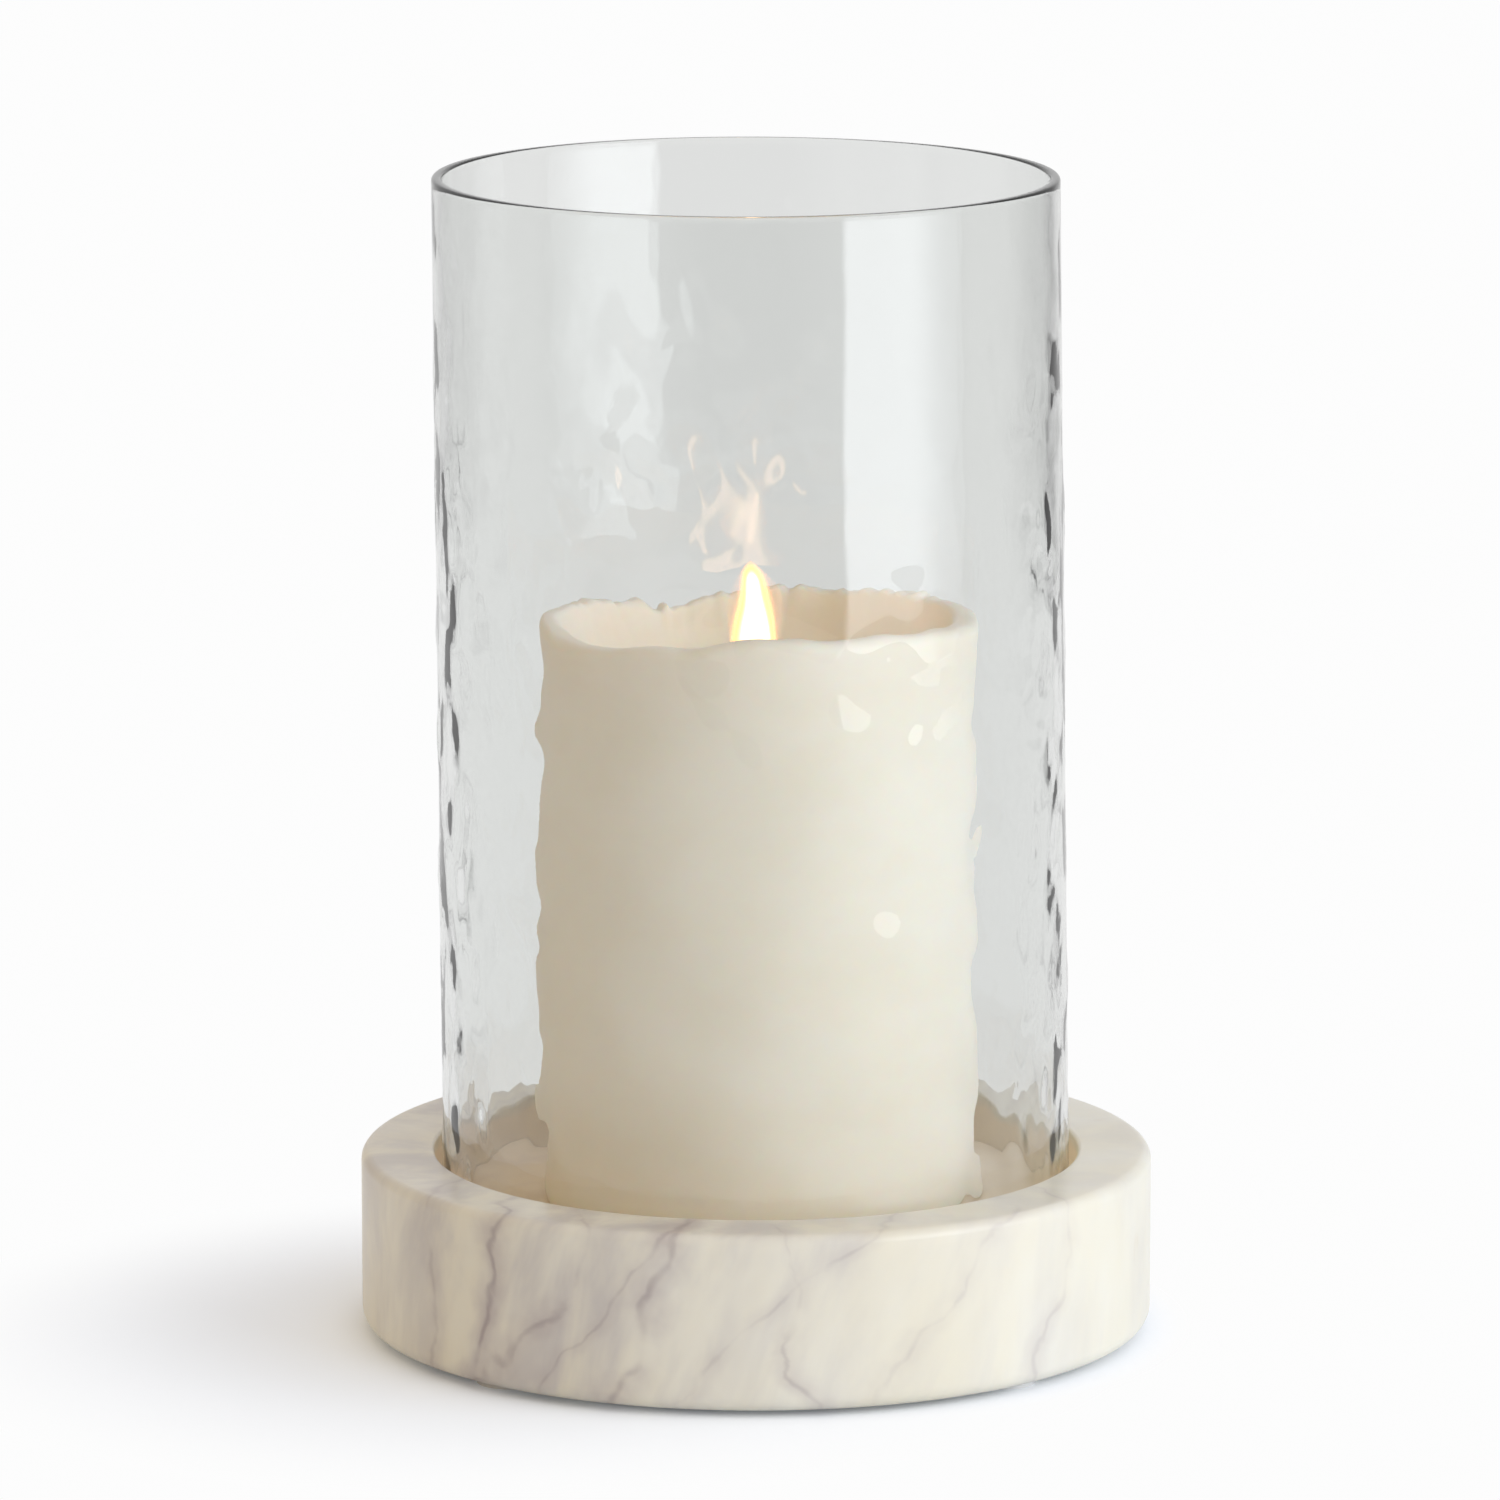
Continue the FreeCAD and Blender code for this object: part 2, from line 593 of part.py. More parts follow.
def cone_spring(label, across, up, turn):
    """A cone of round wire that stands at a point, upright or turned over."""
    stations = list(cone_stations(value("spring_foot / 2"), value("spring_tip / 2"),
                                  value("spring_height - spring_wire - spring_gap"), value("spring_turns")))
    edges = []
    for (start, heading), (end, arrival) in zip(stations, stations[1:]):
        edges.extend(biarc(start, heading, end, arrival))
    section = Part.Wire(Part.makeCircle(value("spring_wire / 2"), *stations[0]))
    item = doc.addObject("Part::Feature", label)
    item.Shape = Part.Wire(edges).makePipeShell([section], True, False)
    place(item, (across, "0", up), Vector(1, 0, 0), turn)
    return keep(item, label)


cone_spring("cover_spring", f"-{CELL_AXIS}", f"{SEAT} + {JUMPER_TOP} + spring_wire / 2", "0")
cone_spring("roof_spring", CELL_AXIS, f"{SEAT} + {CELLS_TOP} - spring_wire / 2", "180")

# Cells: one with its nub up, the other with its nub down.
CAN = "(cell_length - nub_height)"
for label, across, can, nub in (
    ("cell_left", f"-{CELL_AXIS}", f"{JUMPER_TOP} + spring_height", f"{JUMPER_TOP} + spring_height + {CAN}"),
    ("cell_right", CELL_AXIS, f"{JUMPER_TOP} + nub_height", JUMPER_TOP),
):
    cell = new_body(label, SEAT)
    primitive(cell, "AdditiveCylinder", "can", {"Radius": "cell_diameter / 2", "Height": CAN},
              (across, "0", can))
    primitive(cell, "AdditiveCylinder", "nub", {"Radius": "nub_diameter / 2", "Height": "nub_height"},
              (across, "0", nub))

# Circuit board on its bosses, with its screws and the pieces on it.
board = new_body("circuit_board", SEAT)
primitive(board, "AdditiveCylinder", "disc", {"Radius": f"{BAY} - board_gap", "Height": "board_thickness"},
          ("0", "0", BOARD))
board_hole = primitive(board, "SubtractiveCylinder", "hole",
                       {"Radius": "screw_shank / 2 + screw_gap", "Height": "board_thickness"},
                       ("0", f"-{BOSS_CIRCLE}", BOARD))
ring_of(board, "holes", [board_hole], "boss_count")


def screw(name, across, along, face, head_up):
    """A screw whose head lies on a face, above it or below it."""
    length = {"Radius": "screw_shank / 2", "Height": "screw_length"}
    head = {"Radius": "screw_head / 2", "Height": "screw_head_height"}
    shank_at = f"{face} - screw_length" if head_up else face
    head_at = face if head_up else f"{face} - screw_head_height"
    shank = loose("Cylinder", name + "_shank", length, (across, along, shank_at))
    cap = loose("Cylinder", name + "_head", head, (across, along, head_at))
    whole = doc.addObject("Part::MultiFuse", name)
    whole.Shapes = [shank, cap]
    return whole


screws = []
for number in range(int(value("boss_count"))):
    bearing = f"(360 deg * {number} / boss_count - 90 deg)"
    screws.append(screw(f"board_screw_{number}", f"{BOSS_CIRCLE} * cos{bearing}",
                        f"{BOSS_CIRCLE} * sin{bearing}", f"{SEAT} + {BOARD_TOP}", True))
group("board_screws", screws)

keep(loose("Box", "timer_chip", {"Length": "chip_length", "Width": "chip_width", "Height": "chip_height"},
           ("-chip_length / 2", "-chip_offset - chip_width / 2", f"{SEAT} + {BOARD_TOP}")), "timer_chip")
keep(loose("Cylinder", "capacitor", {"Radius": "capacitor_diameter / 2", "Height": "capacitor_height"},
           ("capacitor_side", "-capacitor_offset", f"{SEAT} + {BOARD_TOP}")), "capacitor")
resistors = []
for number in range(int(value("resistor_count"))):
    resistors.append(loose(
        "Cylinder", f"resistor_{number}", {"Radius": "resistor_diameter / 2", "Height": "resistor_length"},
        ("-resistor_side - resistor_length / 2", f"resistor_offset + {number} * resistor_pitch",
         f"{SEAT} + {BOARD_TOP} + resistor_diameter / 2"), Vector(0, 1, 0), "90"))
group("resistors", resistors)

# Deck: the floor of the well, with the flame's slot and the lamp's leaning sleeve.
deck = new_body("flame_deck", SEAT)
primitive(deck, "AdditiveCylinder", "disc", {"Radius": INNER, "Height": "deck_thickness"}, ("0", "0", DECK))
primitive(deck, "AdditiveCylinder", "spigot", {"Radius": f"{BAY} - fit_gap", "Height": "spigot_height"},
          ("0", "0", f"{DECK} - spigot_height"))
primitive(deck, "SubtractiveCylinder", "spigot_bore",
          {"Radius": f"{BAY} - fit_gap - spigot_wall", "Height": "spigot_height"},
          ("0", "0", f"{DECK} - spigot_height"))
LAMP_BORE = "(lamp_diameter / 2 + lamp_gap)"
SLEEVE = f"({LAMP_BORE} + sleeve_wall)"
LAMP_RIM = "(lamp_diameter / 2 + lamp_rim)"
SLEEVE_RUN = f"((deck_thickness + {LAMP_RIM} * sin(lamp_tilt)) / cos(lamp_tilt) + sleeve_margin)"
SLEEVE_END = ("0", f"-lamp_offset - {SLEEVE_RUN} * sin(lamp_tilt)",
              f"{WELL_FLOOR} - {SLEEVE_RUN} * cos(lamp_tilt)")
SLEEVE_LONG = f"{SLEEVE_RUN} + {SLEEVE} * tan(lamp_tilt)"
primitive(deck, "AdditiveCylinder", "sleeve", {"Radius": SLEEVE, "Height": SLEEVE_LONG},
          SLEEVE_END, Vector(-1, 0, 0), "lamp_tilt")
block(deck, "SubtractiveBox", "sleeve_trim", [
    (f"-{SLEEVE}", f"2 * {SLEEVE}"),
    (f"-lamp_offset - 4 * {SLEEVE}", f"8 * {SLEEVE}"),
    (WELL_FLOOR, f"4 * {SLEEVE}"),
])
primitive(deck, "SubtractiveCylinder", "lamp_bore", {"Radius": LAMP_BORE, "Height": SLEEVE_LONG},
          SLEEVE_END, Vector(-1, 0, 0), "lamp_tilt")
block(deck, "SubtractiveBox", "flame_slot", [
    ("-flame_width / 2 - slot_side_gap", "flame_width + 2 * slot_side_gap"),
    ("-magnet_diameter / 2 - slot_face_gap", "magnet_diameter + 2 * slot_face_gap"),
    (DECK, "deck_thickness"),
])
for side, sign in (("left", "-"), ("right", "")):
    primitive(deck, "SubtractiveCylinder", f"ear_hole_{side}",
              {"Radius": "screw_shank / 2 + screw_gap", "Height": "screw_length - carrier_wall"},
              (f"{sign}{EAR_SCREW}", "0", DECK))

# Carrier: cheeks that hold the wire over the coil, hung from the deck by its ears.
carrier = new_body("flame_carrier", SEAT)
block(carrier, "AdditiveBox", "floor", [
    ("-carrier_width / 2", "carrier_width"),
    (f"-{CHEEK_OUTSIDE}", f"2 * {CHEEK_OUTSIDE}"),
    (CARRIER, "carrier_floor"),
])
hub_start = "(tail_thickness / 2 + hub_gap)"
for side, cheek, hub in (("front", f"-{CHEEK_OUTSIDE}", f"-{CHEEK}"), ("back", CHEEK, hub_start)):
    block(carrier, "AdditiveBox", f"cheek_{side}", [
        ("-carrier_width / 2", "carrier_width"),
        (cheek, "carrier_wall"),
        (CARRIER, f"{DECK} - {CARRIER}"),
    ])
    primitive(carrier, "AdditiveCylinder", f"hub_{side}",
              {"Radius": "hub_diameter / 2", "Height": f"{CHEEK} - {hub_start}"},
              ("0", hub, PIVOT), Vector(-1, 0, 0), "90")
for side, start in (
    ("left", "-carrier_width / 2 - ear_length"),
    ("right", "carrier_width / 2 - carrier_wall"),
):
    block(carrier, "AdditiveBox", f"ear_{side}", [
        (start, "ear_length + carrier_wall"),
        (f"-{CHEEK_OUTSIDE}", f"2 * {CHEEK_OUTSIDE}"),
        (f"{DECK} - carrier_wall", "carrier_wall"),
    ])
for side, sign in (("left", "-"), ("right", "")):
    primitive(carrier, "SubtractiveCylinder", f"ear_hole_{side}",
              {"Radius": "screw_shank / 2 + screw_gap", "Height": "carrier_wall"},
              (f"{sign}{EAR_SCREW}", "0", f"{DECK} - carrier_wall"))
primitive(carrier, "SubtractiveCylinder", "wire_hole",
          {"Radius": "wire_diameter / 2 + wire_fit", "Height": f"2 * {CHEEK_OUTSIDE}"},
          ("0", f"-{CHEEK_OUTSIDE}", PIVOT), Vector(-1, 0, 0), "90")
group("carrier_screws", [
    screw(f"carrier_screw_{side}", f"{sign}{EAR_SCREW}", "0", f"{SEAT} + {DECK} - carrier_wall", False)
    for side, sign in (("left", "-"), ("right", ""))
])
keep(loose("Cylinder", "pivot_wire", {"Radius": "wire_diameter / 2", "Height": f"2 * {CHEEK_OUTSIDE}"},
           ("0", f"-{CHEEK_OUTSIDE}", f"{SEAT} + {PIVOT}"), Vector(-1, 0, 0), "90"), "pivot_wire")

# Flame: a leaf-shaped tip lofted through ovals, on a flat tail with an eye for the wire.
OVALS = (
    ("-deck_thickness / 2", "tail_width", "tail_thickness"),
    ("flame_height * 0.28", "flame_width", "flame_thickness"),
    ("flame_height * 0.52", "flame_width * 0.78", "flame_thickness * 0.9"),
    ("flame_height * 0.78", "flame_width * 0.36", "flame_thickness * 0.62"),
    ("flame_height", "flame_width * 0.06", "flame_thickness * 0.2"),
)
ovals = []
for number, (rise, wide, thick) in enumerate(OVALS):
    ovals.append(loose("Ellipse", f"flame_oval_{number}",
                       {"MajorRadius": f"{wide} / 2", "MinorRadius": f"{thick} / 2"},
                       ("0", "0", f"{SEAT} + {WELL_FLOOR} + {rise}")))
doc.recompute()
leaf = doc.addObject("Part::Loft", "flame_leaf")
leaf.Sections = ovals
leaf.Solid = True
tail = loose("Box", "flame_tail", {
    "Length": "tail_width", "Width": "tail_thickness",
    "Height": "tail_length + pivot_drop - deck_thickness / 4",
}, ("-tail_width / 2", "-tail_thickness / 2", f"{SEAT} + {TAIL_END}"))
eye = loose("Cylinder", "flame_eye",
            {"Radius": "wire_diameter / 2 + pivot_play", "Height": "tail_thickness * 2"},
            ("0", "-tail_thickness", f"{SEAT} + {PIVOT}"), Vector(-1, 0, 0), "90")
blade = doc.addObject("Part::MultiFuse", "flame_blade")
blade.Shapes = [leaf, tail]
flame = doc.addObject("Part::Cut", "flame_tip")
flame.Base = blade
flame.Tool = eye
keep(flame, "flame_tip")
keep(loose("Cylinder", "flame_magnet", {"Radius": "magnet_diameter / 2", "Height": "magnet_height"},
           ("0", "0", f"{SEAT} + {MAGNET_END}")), "flame_magnet")

# Bobbin and coil under the magnet.
bobbin = new_body("coil_bobbin", SEAT)
revolve(bobbin, "spool", [
    ("bobbin_bore / 2", BOBBIN),
    ("bobbin_diameter / 2", BOBBIN),
    ("bobbin_diameter / 2", f"{BOBBIN} + bobbin_flange"),
    ("bobbin_core / 2", f"{BOBBIN} + bobbin_flange"),
    ("bobbin_core / 2", f"{BOBBIN_TOP} - bobbin_flange"),
    ("bobbin_diameter / 2", f"{BOBBIN_TOP} - bobbin_flange"),
    ("bobbin_diameter / 2", BOBBIN_TOP),
    ("bobbin_bore / 2", BOBBIN_TOP),
])
COIL = "(bobbin_diameter / 2 - coil_inset)"
COIL_FOOT = f"({BOBBIN} + bobbin_flange + winding_gap)"
COIL_TOP = f"({BOBBIN_TOP} - bobbin_flange - winding_gap)"
coil = new_body("drive_coil", SEAT)
revolve(coil, "winding", [
    ("bobbin_core / 2 + winding_gap", COIL_FOOT),
    (COIL, COIL_FOOT),
    (COIL, COIL_TOP),
    ("bobbin_core / 2 + winding_gap", COIL_TOP),
])

# Lamp: a domed cylinder with a rim and two leads, in the deck's sleeve.
lamp = new_body("flame_lamp", f"{SEAT} + {SLEEVE_END[2]}")
place(lamp, ("0", SLEEVE_END[1], f"{SEAT} + {SLEEVE_END[2]}"), Vector(-1, 0, 0), "lamp_tilt")
primitive(lamp, "AdditiveCylinder", "stem",
          {"Radius": "lamp_diameter / 2", "Height": "lamp_length - lamp_diameter / 2"})
primitive(lamp, "AdditiveSphere", "dome", {"Radius": "lamp_diameter / 2"},
          ("0", "0", "lamp_length - lamp_diameter / 2"))
primitive(lamp, "AdditiveCylinder", "rim", {"Radius": LAMP_RIM, "Height": "lamp_rim_height"},
          ("0", "0", "-lamp_rim_height"))
for side, sign in (("left", "-"), ("right", "")):
    primitive(lamp, "AdditiveCylinder", f"lead_{side}",
              {"Radius": "lead_diameter / 2", "Height": "lead_length"},
              (f"{sign}lead_pitch / 2", "0", "-lamp_rim_height - lead_length"))

# Switch: its case in a pocket of the flange and its knob through the slot under it.
case = new_body("switch_case", SEAT)
block(case, "AdditiveBox", "case", [
    ("-switch_length / 2", "switch_length"),
    ("switch_radius - switch_width / 2", "switch_width"),
    (SWITCH, "switch_height"),
])
block(case, "SubtractiveBox", "track", [
    ("-knob_length / 2 - knob_travel - knob_gap", "knob_length + 2 * knob_travel + 2 * knob_gap"),
    ("switch_radius - knob_width / 2 - knob_gap", "knob_width + 2 * knob_gap"),
    (SWITCH, "knob_root + knob_gap"),
])
knob = new_body("switch_knob", SEAT)
block(knob, "AdditiveBox", "knob", [
    ("-knob_length / 2", "knob_length"),
    ("switch_radius - knob_width / 2", "knob_width"),
    ("foot_recess - knob_proud", f"{SWITCH} + knob_root - foot_recess + knob_proud"),
])
doc.recompute()


# Wires from the switch, the lamp and the coil down to the board.
def wires(label, routes, bend, diameter):
    """Two wires of one diameter, each along its own points inside the candle."""
    item = doc.addObject("Part::Feature", label)
    item.Shape = Part.makeCompound([tube_along(points, bend, diameter / 2) for points in routes])
    place(item, ("0", "0", SEAT))
    return keep(item, label)


turn_in = value(f"{BOARD_TOP} + cable_rise")
landing = value(BOARD_TOP)
wires("switch_wires", [[
    Vector(side * value("cable_pitch / 2"), value("switch_radius"), value(f"{SWITCH} + switch_height")),
    Vector(side * value("cable_pitch / 2"), value("switch_radius"), turn_in),
    Vector(side * value("cable_pitch / 2"), value(f"{BAY} - cable_run"), turn_in),
    Vector(side * value("cable_pitch / 2"), value(f"{BAY} - cable_run"), landing),
] for side in (-1, 1)], value("cable_bend"), value("cable_diameter"))

lead_reach = f"({SLEEVE_RUN} + lamp_rim_height + lead_length)"
corner_reach = f"({lead_reach} + cable_lead)"
corner_along = value(f"-lamp_offset - {corner_reach} * sin(lamp_tilt)")
spread = value("screw_head / 2 + cable_clear + cable_diameter / 2")
wires("lamp_wires", [[
    Vector(side * value("lead_pitch / 2"), value(f"-lamp_offset - {lead_reach} * sin(lamp_tilt)"),
           value(f"{WELL_FLOOR} - {lead_reach} * cos(lamp_tilt)")),
    Vector(side * value("lead_pitch / 2"), corner_along,
           value(f"{WELL_FLOOR} - {corner_reach} * cos(lamp_tilt)")),
    Vector(side * spread, corner_along, landing + value("cable_drop")),
    Vector(side * spread, corner_along, landing),
] for side in (-1, 1)], value("cable_bend"), value("cable_diameter"))

exit_level = value(f"{COIL_FOOT} + coil_lead_diameter")
wires("coil_wires", [[
    Vector(side * value(COIL), 0, exit_level),
    Vector(side * value("bobbin_diameter / 2 + coil_lead_out"), 0, exit_level),
    Vector(side * value("bobbin_diameter / 2 + coil_lead_out"), 0, landing),
] for side in (-1, 1)], value("cable_bend"), value("coil_lead_diameter"))
doc.recompute()

# Check every object, then write each sub-part.
for item in doc.Objects:
    if "Invalid" in item.State or "Error" in item.State:
        raise RuntimeError(f"{item.Label} failed: {item.State}")
for item in nodes:
    if item.Shape.isNull() or not item.Shape.isValid() or not item.Shape.Solids:
        raise RuntimeError(f"{item.Label} has no sound shape")
os.makedirs("parts", exist_ok=True)
for item in nodes:
    item.Shape.exportStep(os.path.join("parts", item.Label + ".step"))
    print(item.Label, len(item.Shape.Solids), "solids", round(item.Shape.Volume / 1000, 3), "cm3")
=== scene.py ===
# %% [markdown]
# # A hurricane candle lantern, dressed in Blender
# The lantern is a round stone base, a hand-blown glass cylinder that stands in its recess, and a
# flameless wax pillar inside. The construction arrives as a finished frame of solids at real size, in
# metres, with +Z up and the origin under the middle of the base. We could model every piece again, but
# the frame already fits and moves, so we keep its solids and only make new surfaces where the eye
# needs more: the stone, the rippled glass, the melted wax and the flame.

# %% Load the frame
import math

import bpy
import numpy as np
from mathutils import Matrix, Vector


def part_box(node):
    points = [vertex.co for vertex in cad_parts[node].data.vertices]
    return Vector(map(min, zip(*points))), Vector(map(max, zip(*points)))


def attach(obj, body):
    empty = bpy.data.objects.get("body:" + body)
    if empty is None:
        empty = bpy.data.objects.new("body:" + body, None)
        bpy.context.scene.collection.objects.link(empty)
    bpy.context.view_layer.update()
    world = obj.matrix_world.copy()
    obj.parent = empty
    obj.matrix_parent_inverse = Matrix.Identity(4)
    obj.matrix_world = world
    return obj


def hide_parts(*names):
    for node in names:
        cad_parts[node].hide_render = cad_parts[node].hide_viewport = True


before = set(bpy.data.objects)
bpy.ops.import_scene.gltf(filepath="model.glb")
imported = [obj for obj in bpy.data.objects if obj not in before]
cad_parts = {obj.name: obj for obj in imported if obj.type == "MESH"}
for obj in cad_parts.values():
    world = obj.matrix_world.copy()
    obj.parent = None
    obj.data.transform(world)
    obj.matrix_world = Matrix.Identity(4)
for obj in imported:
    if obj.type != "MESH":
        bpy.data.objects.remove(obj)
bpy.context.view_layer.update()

# %% [markdown]
# ## Measures from the frame
# A new surface has to sit exactly where its solid sits, so we don't type sizes that the frame knows.
# Each box gives a lowest and a highest corner, and the radii and heights below come from them.

# %% Read the main measures
MM = 0.001

stone_low, stone_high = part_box("marble_base")
glass_low, glass_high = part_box("glass_cylinder")
wax_low, wax_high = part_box("wax_shell")
flame_low, flame_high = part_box("flame_tip")

stone_radius = stone_high.x
glass_radius = glass_high.x
wax_radius = wax_high.x
seat_height = glass_low.z
well_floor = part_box("flame_deck")[1].z
for name, radius in (("stone", stone_radius), ("glass", glass_radius), ("wax", wax_radius)):
    print(f"{name} is {2 * radius / MM:.1f} mm across")
print(f"seat at {seat_height / MM:.1f} mm, well floor at {well_floor / MM:.1f} mm")

# %% [markdown]
# ## Surfaces from arrays
# The stone, the glass and the wax are all turned shapes: an outline in radius and height is carried
# round the axis. A lathe modifier could do that, but then nothing could vary round the turn. We keep
# the outline as an array of rows and the angle as an array of columns, so a whole grid of points is
# one expression, and any ripple or dent is just one more array added to the radius.

# %% Turn a grid of radii and heights into points and faces
def turned_points(radius, height, angle):
    """Points of a turned surface: (radius cos angle, radius sin angle, height) at each row and column."""
    radius, height, angle = np.broadcast_arrays(radius, height, angle)
    return np.stack([radius * np.cos(angle), radius * np.sin(angle), height], axis=-1).reshape(-1, 3)


def wrapped_quads(rows, columns, ring):
    """Four-sided faces of a grid whose columns close on themselves, and in a ring its rows do too."""
    row = np.arange(rows if ring else rows - 1)[:, None]
    column = np.arange(columns)[None, :]
    above = (row + 1) % rows * columns
    beside = (column + 1) % columns
    row = row * columns
    corners = np.broadcast_arrays(row + column, row + beside, above + beside, above + column)
    return np.stack(corners, axis=-1).reshape(-1, 4)


def pole_fans(rows, columns):
    """Triangles that close the first and the last row of a grid on two pole points added after it."""
    column = np.arange(columns)
    beside = (column + 1) % columns
    first = np.full(columns, rows * columns)
    last_row = (rows - 1) * columns
    low = np.stack([first, beside, column], axis=-1)
    high = np.stack([first + 1, last_row + column, last_row + beside], axis=-1)
    return np.concatenate([low, high])


def closed_faces(rows, columns):
    """All faces of a grid that two pole points close: its quads, then the fans at both ends."""
    return wrapped_quads(rows, columns, False).tolist() + pole_fans(rows, columns).tolist()


def angles(columns):
    """Equal steps once round the axis, as one row."""
    return np.linspace(0, 2 * np.pi, columns, endpoint=False)[None, :]


# %% Make a piece of points and faces
def new_piece(name, points, faces, body, slot, *nodes):
    """Put points and faces in a smooth mesh that rides on a body and stands for the frame's nodes."""
    mesh = bpy.data.meshes.new(name)
    mesh.from_pydata(points, [], faces)
    mesh.polygons.foreach_set("use_smooth", np.ones(len(mesh.polygons), dtype=bool))
    mesh.validate()
    piece = bpy.data.objects.new(name, mesh)
    bpy.context.scene.collection.objects.link(piece)
    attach(piece, body)
    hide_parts(*nodes)
    print(f"{name}: {len(mesh.vertices)} points, {len(mesh.polygons)} faces")
    return piece


# %% [markdown]
# ## Outlines with rounded corners
# A real edge is never sharp, and a highlight along it tells the eye how it was finished. We give each
# corner of an outline its own radius and replace it by an arc, then space points evenly along the runs
# between the arcs, because a ripple can only show where the grid has points to carry it.

# %% Round and space an outline
def rounded_outline(corners, radii, spacing, arc_steps=7):
    """An outline whose corners become arcs of the given radii, with points at most a spacing apart.

    At a corner the arc touches both runs at radius / tan(half the inner angle) from it.
    """
    corners = np.asarray(corners, float)
    line = [corners[:1]]
    for before, corner, after, radius in zip(corners, corners[1:], corners[2:], radii):
        back = (before - corner) / np.linalg.norm(before - corner)
        ahead = (after - corner) / np.linalg.norm(after - corner)
        middle = (back + ahead) / np.linalg.norm(back + ahead)
        half = math.acos(np.clip(back @ middle, -1, 1))
        centre = corner + middle * radius / math.sin(half)
        turn = np.linspace(-1, 1, arc_steps)[:, None] * (math.pi / 2 - half)
        side = (ahead - back) / np.linalg.norm(ahead - back)
        line.append(centre + radius * (side * np.sin(turn) - middle * np.cos(turn)))
    line.append(corners[-1:])
    points = np.concatenate(line)
    runs = np.linalg.norm(np.diff(points, axis=0), axis=1)
    parts = np.maximum(1, np.ceil(runs / spacing).astype(int))
    at = np.concatenate([np.arange(n) / n + i for i, n in enumerate(parts)] + [[len(parts)]])
    stations = np.arange(len(points))
    return np.stack([np.interp(at, stations, points[:, axis]) for axis in (0, 1)], axis=-1)


# %% [markdown]
# ## The stone base
# The base is a disc of marble, cut on a lathe and polished, with a round recess for the glass. The
# solid already has this shape, but as triangles that are long and uneven. Turning the outline again
# gives even rows, so the soft round of each edge catches one clean line of light.

# %% Turn the stone base
STONE_COLUMNS = 320
TOP_ROUND = 2.5 * MM
FOOT_ROUND = 4 * MM
RECESS_EDGE_ROUND = 1 * MM
RECESS_CORNER_ROUND = 0.4 * MM
GLASS_SIDE_GAP = 2.5 * MM
STONE_SPACING = 4 * MM

recess_radius = glass_radius + GLASS_SIDE_GAP
stone_outline = rounded_outline(
    [
        (STONE_SPACING / 2, stone_low.z),
        (stone_radius, stone_low.z),
        (stone_radius, stone_high.z),
        (recess_radius, stone_high.z),
        (recess_radius, seat_height),
        (STONE_SPACING / 2, seat_height),
    ],
    [FOOT_ROUND, TOP_ROUND, RECESS_EDGE_ROUND, RECESS_CORNER_ROUND],
    STONE_SPACING,
)
stone_points = turned_points(stone_outline[:, :1], stone_outline[:, 1:], angles(STONE_COLUMNS))
stone_points = np.concatenate([stone_points, [(0, 0, stone_low.z), (0, 0, seat_height)]])
stone_faces = closed_faces(len(stone_outline), STONE_COLUMNS)
new_piece("stone_base", stone_points, stone_faces, "base", "marble", "marble_base")

# %% [markdown]
# ## Waves and soft steps
# Blown glass and poured wax are uneven in a smooth way. A noise texture works in a material, not in our
# arrays, so we add up cosine waves in random directions instead. Each wave closes on itself round the
# axis and has a length that we choose, and a soft step says where the waves fade out.

# %% Waves on a cylinder, and a soft step
def ripple_field(angle, height, radius, shortest, longest, waves, seed, stretch=1):
    """Cosine waves in random directions on a cylinder, added up and scaled to a mean square of one.

    Each wave has a length between shortest and longest and a whole number of crests round the
    cylinder, so the field closes on itself; stretch makes its bumps that much taller than wide.
    """
    draw = np.random.default_rng(seed)
    length = draw.uniform(shortest, longest, waves)
    bearing = draw.uniform(0, 2 * np.pi, waves)
    phase = draw.uniform(0, 2 * np.pi, waves)
    around = np.round(2 * np.pi * radius / length * np.cos(bearing))
    along = 2 * np.pi / length * np.sin(bearing) / stretch
    total = sum(np.cos(k * angle + q * height + p) for k, q, p in zip(around, along, phase))
    return total * math.sqrt(2 / waves)


def ease(value, low, high):
    """A smooth step: 0 below low, 1 above high, with level ends between them."""
    share = np.clip((value - low) / (high - low), 0, 1)
    return share * share * (3 - 2 * share)


# %% [markdown]
# ## The glass cylinder
# Hand-blown glass is never flat. Its wall swells and thins in small ripples, and those ripples are
# what breaks up the reflections and shakes the outline of the candle behind. A bump in the material
# would bend highlights but not the view through the wall, so the ripples are real: two separate
# fields push the outer and the inner face. They die away towards the smooth, fire-polished rim and are
# calmest on the front, and at the two sides finer ripples join in. The wall also leans and narrows by a
# hair towards the rim, as free-blown work does.

# %% Outline of the glass
GLASS_COLUMNS = 292
GLASS_WALL = 2.4 * MM
GLASS_EDGE_ROUND = 0.8 * MM
GLASS_SPACING = 1.55 * MM

glass_bore = glass_radius - GLASS_WALL
glass_middle = glass_radius - GLASS_WALL / 2
glass_outline = rounded_outline(
    [
        (glass_middle, glass_low.z),
        (glass_radius, glass_low.z),
        (glass_radius, glass_high.z),
        (glass_bore, glass_high.z),
        (glass_bore, glass_low.z),
        (glass_middle, glass_low.z),
    ],
    [GLASS_EDGE_ROUND] * 4,
    GLASS_SPACING,
)[:-1]
print(f"glass: {len(glass_outline)} rows round the wall's section")

